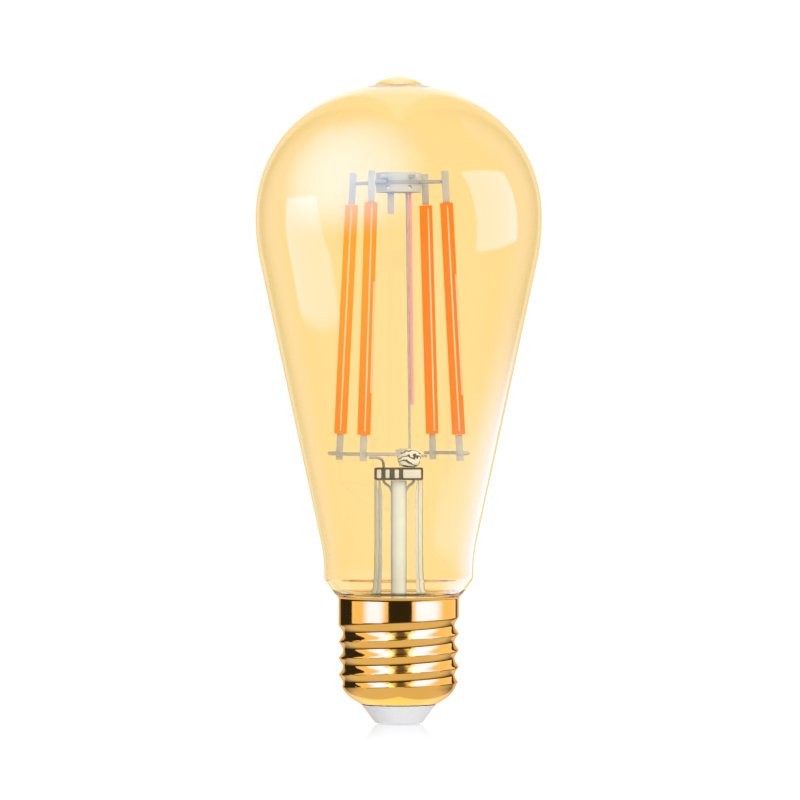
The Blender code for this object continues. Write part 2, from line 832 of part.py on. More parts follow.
def make_filament(number, materials):
    """One filament in its own frame: +Z up its axis from the coating's foot, +Y outwards."""
    degrees = first_filament_angle + 360.0 / filament_count * (number - 1)
    foot = on_circle(filament_foot_ring, degrees, coating_bottom_z)
    head = on_circle(filament_top_ring, degrees, coating_bottom_z + filament_length)
    up = (head - foot).normalized()
    outwards = on_circle(1.0, degrees, 0.0)
    sideways = outwards.cross(up).normalized()
    outwards = up.cross(sideways)
    place = bpy.data.objects.new(f"place_filament_{number}", None)
    place.matrix_world = Matrix.Translation(foot) @ (
        Matrix((sideways, outwards, up)).transposed().to_4x4()
    )
    bpy.context.scene.collection.objects.link(place)

    name = f"filament_{number}"
    make_coating(f"{name}_coating", materials["phosphor"], place)

    lower = make_terminal(
        f"{name}_lower_terminal",
        lower_terminal_length,
        -weld_gap - lower_terminal_length,
        True,
        materials["nickel"],
        place,
    )
    tool = cutter(
        f"cut_{name}",
        arc_wire_radius + weld_gap,
        terminal_width * 3,
        (0.0, 0.0, -arc_below_coating),
        (1, 0, 0),
        place,
    )
    cut(lower, tool)
    make_terminal(
        f"{name}_upper_terminal",
        upper_terminal_length,
        filament_length + weld_gap,
        False,
        materials["nickel"],
        place,
    )

    strip_length = filament_length - 2 * tongue_length
    strip_size = (substrate_width, substrate_thickness, strip_length)
    middle = (0.0, 0.0, filament_length / 2)
    block(f"{name}_substrate", strip_size, middle, materials["ceramic"], place)

    row_length = strip_length - 2 * chip_row_margin
    row_size = (chip_row_width, chip_row_thickness, row_length)
    row_y = substrate_thickness / 2 + weld_gap / 2 + chip_row_thickness / 2
    row_place = (0.0, row_y, filament_length / 2)
    block(f"{name}_chips", row_size, row_place, materials["chip_row"], place)


# Driver


def board_width():
    inner_radius = sleeve_radius - sleeve_wall - board_edge_gap
    return 2 * math.sqrt(inner_radius**2 - board_back_y**2)


def make_driver_board(materials):
    height = board_top_z - board_bottom_z
    size = (board_width(), board_thickness, height)
    centre = (0.0, board_offset, board_bottom_z + height / 2)
    block("driver_board", size, centre, materials["board_green"])
    outline = ring_outline(
        sleeve_radius - sleeve_wall, sleeve_radius, sleeve_bottom_z, sleeve_top_z
    )
    spun("driver_sleeve", outline, materials["sleeve_film"], bulb_sides)


def laid_down(made, location, direction):
    """Lays a piece that was spun about Z along direction, with its origin at location."""
    made.location = location
    made.rotation_mode = "QUATERNION"
    made.rotation_quaternion = Vector(direction).to_track_quat("Z", "Y")
    return made


def make_big_components(materials):
    """The choke, beside the sleeve's wall, and the reservoir capacitor, lying next to it."""
    low_row_z = board_bottom_z + capacitor_radius
    half = capacitor_length / 2
    front_y = board_front_y - seat_gap - choke_height
    sleeve_bore = sleeve_radius - sleeve_wall - seat_gap
    choke_x = math.sqrt(sleeve_bore**2 - front_y**2) - choke_radius
    capacitor_x = choke_x - choke_radius - seat_gap - half
    crimp = capacitor_crimp
    outline = [
        (0.0, -half),
        (capacitor_radius, -half),
        (capacitor_radius, half - 6 * crimp),
        (capacitor_radius - crimp, half - 5 * crimp),
        (capacitor_radius, half - 4 * crimp),
        (capacitor_radius, half - crimp),
        (capacitor_radius - crimp, half),
        (0.0, half),
    ]
    capacitor = spun("bulk_capacitor", outline, materials["can_sleeve"])
    y = board_front_y - seat_gap - capacitor_radius
    laid_down(capacitor, (capacitor_x, y, low_row_z), (1, 0, 0))

    neck = choke_radius - choke_waist
    outline = [
        (0.0, 0.0),
        (choke_radius, 0.0),
        (choke_radius, choke_flange),
        (neck, choke_flange),
        (neck, choke_height - choke_flange),
        (choke_radius, choke_height - choke_flange),
        (choke_radius, choke_height),
        (0.0, choke_height),
    ]
    choke = spun("choke_coil", outline, materials["ferrite"], small_sides)
    laid_down(choke, (choke_x, board_front_y - seat_gap, low_row_z), (0, -1, 0))


def make_chips(materials):
    """Rectifier and driver chip, in the row above the capacitor on the board's front."""
    upper_z = board_top_z - rectifier_size[2] / 2 - seat_gap
    for name, size, side in (
        ("rectifier", rectifier_size, -1),
        ("driver_chip", driver_chip_size, 1),
    ):
        x = side * (board_width() / 2 - chip_edge_room - size[0] / 2)
        y = board_front_y - seat_gap - size[1] / 2
        block(name, size, (x, y, upper_z), materials["chip_black"], edge=chip_edge)


def make_fuse_and_wires(materials):
    """The mains path: contact pin, line wire, fusible resistor, board, neutral wire, shell."""
    fuse_bottom_z = board_bottom_z + capacitor_radius - fuse_length / 2
    fuse_top_z = fuse_bottom_z + fuse_length
    fuse_y = board_front_y - 2 * seat_gap - fuse_radius - hook_up_radius * 2
    waist = fuse_radius - fuse_waist
    bell = fuse_length * 0.25
    outline = [
        (0.0, fuse_bottom_z),
        (fuse_radius, fuse_bottom_z + fuse_waist),
        (fuse_radius, fuse_bottom_z + bell),
        (waist, fuse_bottom_z + bell + fuse_waist),
        (waist, fuse_top_z - bell - fuse_waist),
        (fuse_radius, fuse_top_z - bell),
        (fuse_radius, fuse_top_z - fuse_waist),
        (0.0, fuse_top_z),
    ]
    place = (-fuse_offset, fuse_y, 0.0)
    spun("fuse_resistor", outline, materials["fuse_body"], small_sides, location=place)

    pin_top_z = insulator_top_z + contact_pin_head
    run_z = (pin_top_z + board_bottom_z) / 2 + hook_up_radius
    line = [
        (0.0, -contact_pin_radius - hook_up_radius - seat_gap, pin_top_z),
        (-fuse_offset * 0.35, -capacitor_radius, run_z),
        (-fuse_offset * 0.8, fuse_y - fuse_radius, run_z),
        (-fuse_offset, fuse_y, fuse_bottom_z - 3 * weld_gap),
    ]
    wire("line_wire", smooth_route(line, 4), hook_up_radius, materials["wire_red"])

    lead_y = board_front_y - seat_gap - hook_up_radius
    lead_top_z = fuse_top_z + fuse_radius
    fuse_lead = [
        (-fuse_offset, fuse_y, fuse_top_z + weld_gap),
        (-fuse_offset, fuse_y, fuse_top_z + fuse_radius * 0.6),
        (-fuse_offset, (fuse_y + lead_y) / 2, lead_top_z),
        (-fuse_offset, lead_y, lead_top_z),
    ]
    wire("fuse_lead", smooth_route(fuse_lead, 3), hook_up_radius, materials["copper"])

    over_sleeve_z = (sleeve_top_z + flare_bottom_z) / 2
    reach = sleeve_radius - hook_up_radius
    neutral = [
        (-board_width() * 0.42, lead_y, board_top_z - hook_up_radius),
        (-board_width() * 0.45, lead_y - hook_up_radius * 3, over_sleeve_z),
        (-reach * 0.94, board_front_y * 0.4, over_sleeve_z),
        (-reach, 0.0, over_sleeve_z),
    ]
    wire("neutral_wire", smooth_route(neutral, 4), hook_up_radius, materials["wire_blue"])


def make_radio(materials):
    """The radio module on the board's back: its own board, a shield can and a folded antenna
    at the top, nearest to the glass."""
    width, thickness, height = radio_board_size
    top_z = board_top_z
    y = board_back_y + seat_gap + thickness / 2
    place = (0.0, y, top_z - height / 2)
    block("radio_board", radio_board_size, place, materials["radio_black"])

    face_y = y + thickness / 2 + seat_gap
    shield_z = top_z - height + seat_gap + radio_shield_size[2] / 2
    place = (0.0, face_y + radio_shield_size[1] / 2, shield_z)
    block("radio_shield", radio_shield_size, place, materials["shield_tin"], edge=chip_edge)

    span, rise = antenna_size
    low_z = top_z - seat_gap - antenna_wire_radius - rise
    points = []
    for run in range(antenna_runs + 1):
        x = -span / 2 + span * run / antenna_runs
        ends = (low_z, low_z + rise) if run % 2 else (low_z + rise, low_z)
        points += [(x, face_y + antenna_wire_radius, z) for z in ends]
    wire("radio_antenna", points, antenna_wire_radius, materials["copper"])


def main():
    clear_scene()
    materials = make_materials()
    make_screw_shell(materials)
    make_cap_insulator(materials)
    make_centre_contact(materials)
    make_glass_envelope(materials)
    make_stem_tube(materials)
    make_stem_press(materials)
    make_exhaust_tube(materials)
    make_glass_bead(materials)
    make_neck_cement(materials)
    make_lower_arcs(materials)
    make_lead_wires(materials)
    make_mast(materials)
    make_hub(materials)
    for number in range(1, filament_count + 1):
        make_filament(number, materials)
    make_driver_board(materials)
    make_big_components(materials)
    make_chips(materials)
    make_fuse_and_wires(materials)
    make_radio(materials)


main()
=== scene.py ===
# Filament light bulb: amber teardrop glass, four lit filaments on a wire mount, gold screw cap.
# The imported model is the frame. Each visible piece is built again here in fine detail, in metres,
# with its foot at z = 0 and its axis on z.
import math

import bmesh
import bpy
from mathutils import Matrix, Vector


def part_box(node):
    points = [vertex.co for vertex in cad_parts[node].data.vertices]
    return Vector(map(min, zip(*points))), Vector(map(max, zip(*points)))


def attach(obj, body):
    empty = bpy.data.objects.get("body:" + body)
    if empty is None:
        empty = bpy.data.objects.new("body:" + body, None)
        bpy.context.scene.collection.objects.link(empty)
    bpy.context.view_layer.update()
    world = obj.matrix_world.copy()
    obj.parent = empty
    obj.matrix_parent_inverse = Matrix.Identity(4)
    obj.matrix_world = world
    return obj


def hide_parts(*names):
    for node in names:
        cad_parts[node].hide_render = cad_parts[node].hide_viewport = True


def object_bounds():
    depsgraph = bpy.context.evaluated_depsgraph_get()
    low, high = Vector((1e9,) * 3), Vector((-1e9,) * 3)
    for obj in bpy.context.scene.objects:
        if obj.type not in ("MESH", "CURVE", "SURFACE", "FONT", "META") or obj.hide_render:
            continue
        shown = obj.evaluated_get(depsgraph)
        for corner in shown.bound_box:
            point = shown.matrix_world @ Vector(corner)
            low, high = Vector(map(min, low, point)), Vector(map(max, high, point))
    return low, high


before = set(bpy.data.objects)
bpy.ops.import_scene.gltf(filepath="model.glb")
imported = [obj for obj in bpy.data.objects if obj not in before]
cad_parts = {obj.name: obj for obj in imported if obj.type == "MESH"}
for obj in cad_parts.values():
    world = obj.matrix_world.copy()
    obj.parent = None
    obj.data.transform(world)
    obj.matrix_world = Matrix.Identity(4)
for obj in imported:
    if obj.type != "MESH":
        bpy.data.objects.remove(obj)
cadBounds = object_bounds()
body = "root"
mm = 0.001


# small helpers

def link(piece):
    bpy.context.scene.collection.objects.link(piece)
    return piece


def settle(name, bm, material, nodes=(), sharp=35.0):
    # bmesh to object: outward faces, smooth where round, riding on the body
    bmesh.ops.remove_doubles(bm, verts=bm.verts, dist=1e-7)
    bmesh.ops.recalc_face_normals(bm, faces=bm.faces)
    mesh = bpy.data.meshes.new(name)
    bm.to_mesh(mesh)
    bm.free()
    mesh.shade_smooth()
    mesh.set_sharp_from_angle(angle=math.radians(sharp))
    mesh.materials.append(material)
    piece = link(bpy.data.objects.new(name, mesh))
    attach(piece, body)
    if nodes:
        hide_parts(*nodes)
    return piece


def steps(start, end, count):
    return [start + (end - start) * i / count for i in range(count + 1)]


def ease(share):
    held = min(max(share, 0.0), 1.0)
    return held * held * (3 - 2 * held)


def skin(bm, rings, closed=False):
    # faces between neighbouring rings; a ring of one vertex is a point on the axis
    pairs = list(zip(rings, rings[1:]))
    if closed:
        pairs.append((rings[-1], rings[0]))
    for low, high in pairs:
        count = max(len(low), len(high))
        for i in range(count):
            j = (i + 1) % count
            if len(low) == 1 and len(high) == 1:
                continue
            if len(low) == 1:
                bm.faces.new((low[0], high[j], high[i]))
            elif len(high) == 1:
                bm.faces.new((low[i], low[j], high[0]))
            else:
                bm.faces.new((low[i], low[j], high[j], high[i]))


def turned(outline, sides, shape=None):
    # outline of (radius, z) round the z axis; shape may move each point: (radius, angle, z) -> xyz
    bm = bmesh.new()
    angles = steps(0.0, 2 * math.pi, sides)[:-1]
    rings = []
    for radius, z in outline:
        if radius < 1e-9:
            rings.append([bm.verts.new((0.0, 0.0, z))])
            continue
        places = [
            shape(radius, a, z) if shape else (radius * math.cos(a), radius * math.sin(a), z)
            for a in angles
        ]
        rings.append([bm.verts.new(p) for p in places])
    skin(bm, rings, closed=outline[0][0] > 0 and outline[-1][0] > 0)
    return bm


def smoothRoute(points, perStretch):
    knots = [Vector(p) for p in points]
    knots = [2 * knots[0] - knots[1], *knots, 2 * knots[-1] - knots[-2]]
    route = []
    for before, start, end, after in zip(knots, knots[1:], knots[2:], knots[3:]):
        for t in steps(0.0, 1.0, perStretch)[:-1]:
            route.append(0.5 * (
                2 * start + (end - before) * t
                + (2 * before - 5 * start + 4 * end - after) * t * t
                + (3 * start - before - 3 * end + after) * t * t * t
            ))
    return [*route, knots[-2]]


def swept(points, radius, sides=20):
    # round wire along the points, with domed ends
    bm = bmesh.new()
    points = [Vector(p) for p in points]
    tangents = [
        (points[min(i + 1, len(points) - 1)] - points[max(i - 1, 0)]).normalized()
        for i in range(len(points))
    ]
    side = tangents[0].orthogonal().normalized()
    stations = []
    for lift in (1.0, 0.82, 0.45):
        place = points[0] + tangents[0] * radius * (0.35 - 0.35 * lift)
        stations.append((place, math.sqrt(max(1 - lift ** 2, 0.0)), tangents[0]))
    stations += [(p, 1.0, t) for p, t in zip(points[1:-1], tangents[1:-1])]
    for lift in (0.45, 0.82, 1.0):
        place = points[-1] - tangents[-1] * radius * (0.35 - 0.35 * lift)
        stations.append((place, math.sqrt(max(1 - lift ** 2, 0.0)), tangents[-1]))
    rings = []
    for place, share, tangent in stations:
        side = (side - tangent * side.dot(tangent)).normalized()
        other = tangent.cross(side)
        if share < 1e-6:
            rings.append([bm.verts.new(place)])
            continue
        rings.append([
            bm.verts.new(place + (side * math.cos(a) + other * math.sin(a)) * radius * share)
            for a in steps(0.0, 2 * math.pi, sides)[:-1]
        ])
    skin(bm, rings)
    return bm


def softBox(size, centre, edge, rounds=3, turn=None):
    # box with rounded edges
    bm = bmesh.new()
    bmesh.ops.create_cube(bm, size=1.0, matrix=Matrix.Diagonal((*size, 1.0)))
    bmesh.ops.bevel(
        bm, geom=bm.edges[:], offset=edge, segments=rounds, profile=0.5, affect="EDGES", clamp_overlap=True
    )
    if turn is not None:
        bmesh.ops.transform(bm, matrix=turn, verts=bm.verts)
    bmesh.ops.translate(bm, verts=bm.verts, vec=centre)
    return bm


def joined(*parts):
    # one bmesh from several
    whole = parts[0]
    for extra in parts[1:]:
        mesh = bpy.data.meshes.new("spare")
        extra.to_mesh(mesh)
        whole.from_mesh(mesh)
        bpy.data.meshes.remove(mesh)
        extra.free()
    return whole


def onCircle(radius, degrees, z):
    a = math.radians(degrees)
    return Vector((radius * math.cos(a), radius * math.sin(a), z))


def middle(node):
    low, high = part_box(node)
    return (low + high) / 2


# node groups shared by the materials

def newGroup(name, inputs, outputs):
    tree = bpy.data.node_groups.new(name, "ShaderNodeTree")
    for label, kind, value in inputs:
        socket = tree.interface.new_socket(label, in_out="INPUT", socket_type=kind)
        socket.default_value = value
    for label, kind in outputs:
        tree.interface.new_socket(label, in_out="OUTPUT", socket_type=kind)
    return tree, tree.nodes.new("NodeGroupInput"), tree.nodes.new("NodeGroupOutput")


def addNode(tree, kind, links=(), **settings):
    node = tree.nodes.new(kind)
    for key, value in settings.items():
        if key.startswith("in_"):
            node.inputs[int(key[3:])].default_value = value
        else:
            setattr(node, key, value)
    for socket, source in links:
        tree.links.new(source, node.inputs[socket])
    return node


def mathNode(tree, operation, first, second=None, **settings):
    node = addNode(tree, "ShaderNodeMath", operation=operation, **settings)
    for index, source in enumerate((first, second)):
        if isinstance(source, (int, float)):
            node.inputs[index].default_value = source
        elif source is not None:
            tree.links.new(source, node.inputs[index])
    return node.outputs[0]


def eased(tree, value, low, high, start=0.0, end=1.0):
    # start below low, end above high, smooth between
    node = addNode(tree, "ShaderNodeMapRange", [(0, value)], interpolation_type="SMOOTHSTEP")
    for label, number in (("From Min", low), ("From Max", high), ("To Min", start), ("To Max", end)):
        node.inputs[label].default_value = number
    return node.outputs[0]


def objectPlace(tree):
    return addNode(tree, "ShaderNodeTexCoord").outputs["Object"]


def makeSmudge():
    # uneven gloss: finger marks and fine dust, as a roughness and a small height
    tree, given, out = newGroup(
        "smudge",
        [
            ("Scale", "NodeSocketFloat", 60.0), ("Roughness", "NodeSocketFloat", 0.1),
            ("Amount", "NodeSocketFloat", 0.05)
        ],
        [("Roughness", "NodeSocketFloat"), ("Height", "NodeSocketFloat")],
    )
    place = objectPlace(tree)
    broad = addNode(tree, "ShaderNodeTexNoise", [("Vector", place), ("Scale", given.outputs["Scale"])])
    broad.inputs["Detail"].default_value = 5.0
    fineScale = mathNode(tree, "MULTIPLY", given.outputs["Scale"], 14.0)
    fine = addNode(tree, "ShaderNodeTexNoise", [("Vector", place), ("Scale", fineScale)])
    fine.inputs["Detail"].default_value = 3.0
    centred = mathNode(tree, "SUBTRACT", mathNode(tree, "ADD", broad.outputs[0], fine.outputs[0]), 1.0)
    swing = mathNode(tree, "MULTIPLY", centred, given.outputs["Amount"])
    total = mathNode(tree, "ADD", swing, given.outputs["Roughness"], use_clamp=True)
    tree.links.new(total, out.inputs["Roughness"])
    tree.links.new(fine.outputs[0], out.inputs["Height"])
    return tree


def makeMottle():
    # slow drift between two colours of one finish
    tree, given, out = newGroup(
        "mottle",
        [
            ("Light", "NodeSocketColor", (1, 1, 1, 1)), ("Deep", "NodeSocketColor", (0, 0, 0, 1)),
            ("Scale", "NodeSocketFloat", 80.0)
        ],
        [("Color", "NodeSocketColor")],
    )
    place = objectPlace(tree)
    noise = addNode(tree, "ShaderNodeTexNoise", [("Vector", place), ("Scale", given.outputs["Scale"])])
    noise.inputs["Detail"].default_value = 4.0
    spread = addNode(tree, "ShaderNodeMapRange", [(0, noise.outputs[0])])
    spread.inputs["From Min"].default_value = 0.3
    spread.inputs["From Max"].default_value = 0.7
    blend = addNode(tree, "ShaderNodeMix", data_type="RGBA")
    tree.links.new(spread.outputs[0], blend.inputs["Factor"])
    tree.links.new(given.outputs["Light"], blend.inputs[6])
    tree.links.new(given.outputs["Deep"], blend.inputs[7])
    tree.links.new(blend.outputs[2], out.inputs["Color"])
    return tree


def makeRolled():
    # lines left by rolling or drawing, running round or along the piece
    tree, given, out = newGroup(
        "rolledLines",
        [("Along", "NodeSocketFloat", 900.0), ("Across", "NodeSocketFloat", 20.0)],
        [("Height", "NodeSocketFloat")],
    )
    parts = addNode(tree, "ShaderNodeSeparateXYZ", [(0, objectPlace(tree))])
    labels = ("Across", "Across", "Along")
    scaled = [mathNode(tree, "MULTIPLY", parts.outputs[i], given.outputs[labels[i]]) for i in range(3)]
    squeezed = addNode(tree, "ShaderNodeCombineXYZ", list(enumerate(scaled)))
    noise = addNode(tree, "ShaderNodeTexNoise", [("Vector", squeezed.outputs[0])])
    noise.inputs["Scale"].default_value = 1.0
    noise.inputs["Detail"].default_value = 3.0
    tree.links.new(noise.outputs[0], out.inputs["Height"])
    return tree


smudge = makeSmudge()
mottle = makeMottle()
rolledLines = makeRolled()


def newMaterial(name, **sockets):
    material = bpy.data.materials.new(name)
    material.use_nodes = True
    tree = material.node_tree
    shader = tree.nodes["Principled BSDF"]
    for key, value in sockets.items():
        label = {
            "colour": "Base Color", "roughness": "Roughness", "metallic": "Metallic", "ior": "IOR",
            "transmission": "Transmission Weight", "coat": "Coat Weight", "coatRoughness": "Coat Roughness",
            "glow": "Emission Strength", "glowColour": "Emission Color", "alpha": "Alpha",
            "specular": "Specular IOR Level",
        }[key]
        shader.inputs[label].default_value = value
    return material, tree, shader


def placeGroup(tree, group, **values):
    node = addNode(tree, "ShaderNodeGroup", node_tree=group)
    for key, value in values.items():
        node.inputs[key].default_value = value
    return node


def finish(name, light, deep, roughness, scale=120.0, uneven=0.06, bump=0.02, lines=None, **sockets):
    # one opaque finish: colour drift, uneven gloss, and a fine bump
    material, tree, shader = newMaterial(name, **sockets)
    colours = placeGroup(tree, mottle, Light=(*light, 1), Deep=(*deep, 1), Scale=scale)
    tree.links.new(colours.outputs["Color"], shader.inputs["Base Color"])
    gloss = placeGroup(tree, smudge, Scale=scale, Roughness=roughness, Amount=uneven)
    tree.links.new(gloss.outputs["Roughness"], shader.inputs["Roughness"])
    height = gloss.outputs["Height"]
    if lines:
        grooves = placeGroup(tree, rolledLines, Along=lines[0], Across=lines[1])
        height = grooves.outputs["Height"]
    relief = addNode(tree, "ShaderNodeBump", [("Height", height)])
    relief.inputs["Strength"].default_value = bump
    relief.inputs["Distance"].default_value = 0.0002
    tree.links.new(relief.outputs[0], shader.inputs["Normal"])
    return material


def letLightIn(tree, shader, tint):
    # lamps and soft bounces pass straight through the glass
    out = tree.nodes["Material Output"]
    path = addNode(tree, "ShaderNodeLightPath")
    either = mathNode(tree, "MAXIMUM", path.outputs["Is Shadow Ray"], path.outputs["Is Diffuse Ray"])
    clear = addNode(tree, "ShaderNodeBsdfTransparent")
    clear.inputs[0].default_value = (*tint, 1)
    mix = addNode(tree, "ShaderNodeMixShader", [(0, either), (1, shader.outputs[0]), (2, clear.outputs[0])])
    tree.links.new(mix.outputs[0], out.inputs["Surface"])


def glassMaterial(name, light, deep, roughness, uneven=0.0, scale=30.0, pale=None, **sockets):
    material, tree, shader = newMaterial(name, transmission=1.0, **sockets)
    colours = placeGroup(tree, mottle, Light=(*light, 1), Deep=(*deep, 1), Scale=scale)
    tree.links.new(colours.outputs["Color"], shader.inputs["Base Color"])
    gloss = placeGroup(tree, smudge, Scale=scale, Roughness=roughness, Amount=uneven)
    tree.links.new(gloss.outputs["Roughness"], shader.inputs["Roughness"])
    letLightIn(tree, shader, pale or light)
    return material


# materials

print("materials")
amberGlass = glassMaterial(
    "amberGlass", (1.0, 0.872, 0.590), (1.0, 0.866, 0.575), 0.0, scale=12.0, ior=1.45,
    pale=(1.0, 0.97, 0.93)
)
absorb = addNode(amberGlass.node_tree, "ShaderNodeVolumeAbsorption")
absorb.inputs["Color"].default_value = (1.0, 0.7377, 0.0, 1)
absorb.inputs["Density"].default_value = 89.5
amberGlass.node_tree.links.new(
    absorb.outputs[0], amberGlass.node_tree.nodes["Material Output"].inputs["Volume"]
)


def glassWithPaintedEdgeShade(name, light, edge, alphas=None, edges=(0.62, 0.95), roughness=0.2):
    # thin clear or milky glass with a painted edge shade: its colour turns greyer, to the edge colour,
    # towards its outline; alphas are (face on, at the edge, from, to)
    material, tree, shader = newMaterial(name, roughness=roughness, specular=0.2)
    weight = addNode(tree, "ShaderNodeLayerWeight")
    weight.inputs["Blend"].default_value = 0.5
    if alphas:
        faceOn, atEdge, low, high = alphas
        tree.links.new(
            eased(tree, weight.outputs["Facing"], low, high, faceOn, atEdge), shader.inputs["Alpha"]
        )
    colours = placeGroup(tree, mottle, Light=(*light, 1), Deep=(*[c * 0.94 for c in light], 1), Scale=300.0)
    # painted edge shade: darker towards the outline
    paintedEdgeShadeMask = eased(tree, weight.outputs["Facing"], *edges)
    blend = addNode(tree, "ShaderNodeMix", [(0, paintedEdgeShadeMask), (6, colours.outputs["Color"])], data_type="RGBA")
    blend.inputs[7].default_value = (*edge, 1)
    tree.links.new(blend.outputs[2], shader.inputs["Base Color"])
    gloss = placeGroup(tree, smudge, Scale=200.0, Roughness=roughness, Amount=0.05)
    tree.links.new(gloss.outputs["Roughness"], shader.inputs["Roughness"])
    return material


clearGlass = glassWithPaintedEdgeShade(
    "clearGlass", (0.66, 0.76, 1.0), (0.26, 0.30, 0.42), (0.0, 0.85, 0.38, 0.47), (0.62, 0.85)
)
# the press's opaque dark colour is painted shade and its bars' pale colour is painted highlights, in place
# of what shows through the clear press glass
pressPaintedShade = finish("pressPaintedShade", (0.075, 0.07, 0.075), (0.05, 0.047, 0.05), 0.3, scale=300.0, specular=0.3)
pressPaintedHighlight = finish("pressPaintedHighlight", (0.60, 0.68, 0.92), (0.55, 0.63, 0.86), 0.2, scale=300.0, specular=0.4)
milkGlass = glassWithPaintedEdgeShade("milkGlass", (0.60, 0.73, 1.0), (0.36, 0.43, 0.60), None, (0.16, 0.72))


def makeSwirlGlass():
    # cream glass with dark strokes folded into it
    material, tree, shader = newMaterial("swirlGlass", specular=0.3)
    place = objectPlace(tree)
    wave = addNode(tree, "ShaderNodeTexWave", [("Vector", place)], wave_type="BANDS", bands_direction="Z")
    wave.inputs["Scale"].default_value = 260.0
    wave.inputs["Distortion"].default_value = 9.0
    wave.inputs["Detail"].default_value = 2.0
    wave.inputs["Detail Scale"].default_value = 1.6
    strokes = eased(tree, wave.outputs["Fac"], 0.72, 0.86)
    colours = placeGroup(tree, mottle, Light=(0.72, 0.82, 1.0, 1), Deep=(0.62, 0.71, 0.95, 1), Scale=500.0)
    blend = addNode(tree, "ShaderNodeMix", [(0, strokes), (6, colours.outputs["Color"])], data_type="RGBA")
    blend.inputs[7].default_value = (0.06, 0.07, 0.07, 1)
    tree.links.new(blend.outputs[2], shader.inputs["Base Color"])
    gloss = placeGroup(tree, smudge, Scale=300.0, Roughness=0.2, Amount=0.1)
    tree.links.new(gloss.outputs["Roughness"], shader.inputs["Roughness"])
    return material


swirlGlass = makeSwirlGlass()
goldPlate = finish(
    "goldPlate", (0.90, 0.50, 0.115), (0.86, 0.46, 0.095), 0.08, scale=90.0, uneven=0.05, bump=0.012,
    lines=(2600.0, 60.0), metallic=1.0
)
insulatorGlaze = finish(
    "insulatorGlaze", (0.615, 0.615, 0.62), (0.585, 0.585, 0.59), 0.3, uneven=0.08, specular=0.3
)
nickelPlate = finish(
    "nickelPlate", (0.46, 0.525, 0.74), (0.41, 0.475, 0.69), 0.42, scale=400.0, uneven=0.12, bump=0.05,
    metallic=0.25
)
hubPlate = finish(
    "hubPlate", (0.52, 0.60, 0.84), (0.46, 0.54, 0.77), 0.42, scale=400.0, uneven=0.12, bump=0.05,
    metallic=0.2
)
drawnSteel = finish(
    "drawnSteel", (0.44, 0.51, 0.74), (0.39, 0.46, 0.68), 0.4, scale=500.0, uneven=0.1, bump=0.05,
    metallic=0.25
)
pinkSleeve = finish("pinkSleeve", (0.80, 0.36, 0.62), (0.76, 0.32, 0.57), 0.5, scale=700.0, specular=0.2)
# the cement's colour is its own; its faint glow is painted light, as the cement is no lamp
cementPaintedGlow = finish(
    "cementPaintedGlow", (0.86, 0.80, 0.68), (0.78, 0.72, 0.60), 0.9, scale=900.0, bump=0.3, glow=0.55,
    glowColour=(1.0, 0.84, 0.60, 1)
)
sleeveFilm = finish("sleeveFilm", (0.78, 0.78, 0.70), (0.70, 0.70, 0.62), 0.4)
boardGreen = finish("boardGreen", (0.04, 0.24, 0.10), (0.02, 0.16, 0.06), 0.35, scale=300.0, bump=0.1)
radioBlack = finish("radioBlack", (0.03, 0.04, 0.06), (0.02, 0.02, 0.03), 0.35, scale=300.0, bump=0.1)
chipBlack = finish("chipBlack", (0.035, 0.035, 0.035), (0.02, 0.02, 0.02), 0.5, scale=900.0, bump=0.3)
shieldTin = finish("shieldTin", (0.72, 0.71, 0.68), (0.60, 0.59, 0.56), 0.3, scale=250.0, metallic=1.0)
canSleeve = finish("canSleeve", (0.05, 0.09, 0.30), (0.03, 0.06, 0.22), 0.3, scale=200.0)
ferriteGrey = finish("ferriteGrey", (0.11, 0.10, 0.10), (0.07, 0.06, 0.06), 0.75, scale=900.0, bump=0.4)
fuseBody = finish("fuseBody", (0.10, 0.36, 0.40), (0.07, 0.29, 0.33), 0.35, scale=300.0)
copperBare = finish("copperBare", (0.85, 0.42, 0.22), (0.70, 0.32, 0.16), 0.3, scale=500.0, metallic=1.0)
wireRed = finish("wireRed", (0.60, 0.05, 0.04), (0.50, 0.04, 0.03), 0.4, scale=400.0)
wireBlue = finish("wireBlue", (0.05, 0.17, 0.52), (0.04, 0.13, 0.44), 0.4, scale=400.0)

beltPlate = finish(
    "beltPlate", (0.36, 0.41, 0.57), (0.31, 0.36, 0.51), 0.42, scale=400.0, uneven=0.12, bump=0.05,
    metallic=0.2
)


def makeGlowing(name, light, deep, strength, scale, paintedHighlightTone=None):
    # lit surface: its glow drifts a little along the piece, and turns to a paler tone on the upper left, a
    # painted highlight
    material, tree, shader = newMaterial(name, roughness=0.35, glow=strength)
    colours = placeGroup(tree, mottle, Light=(*light, 1), Deep=(*deep, 1), Scale=scale)
    source = colours.outputs["Color"]
    if paintedHighlightTone:
        parts = addNode(tree, "ShaderNodeSeparateXYZ", [(0, objectPlace(tree))])
        leftwards = eased(tree, parts.outputs[0], 3 * mm, -10 * mm)
        upwards = eased(tree, parts.outputs[2], 45 * mm, 122 * mm)
        both = mathNode(tree, "MULTIPLY", leftwards, upwards)
        blend = addNode(tree, "ShaderNodeMix", [(0, both), (6, source)], data_type="RGBA")
        blend.inputs[7].default_value = (*paintedHighlightTone, 1)
        source = blend.outputs[2]
    tree.links.new(source, shader.inputs["Emission Color"])
    shader.inputs["Base Color"].default_value = (0.06, 0.012, 0.002, 1)
    shader.inputs["Specular IOR Level"].default_value = 0.0
    return material


# the paler orange on the upper left of the strips is a painted highlight
litPhosphor = makeGlowing(
    "litPhosphor", (1.0, 0.275, 0.014), (1.0, 0.255, 0.010), 1.0, 300.0, paintedHighlightTone=(1.0, 0.47, 0.03)
)
# white glowing lines along the strips: chip rows drawn as painted highlights
chipPaintedHighlight = makeGlowing("chipPaintedHighlight", (1.0, 0.88, 0.86), (1.0, 0.84, 0.80), 1.0, 900.0)


# glass envelope

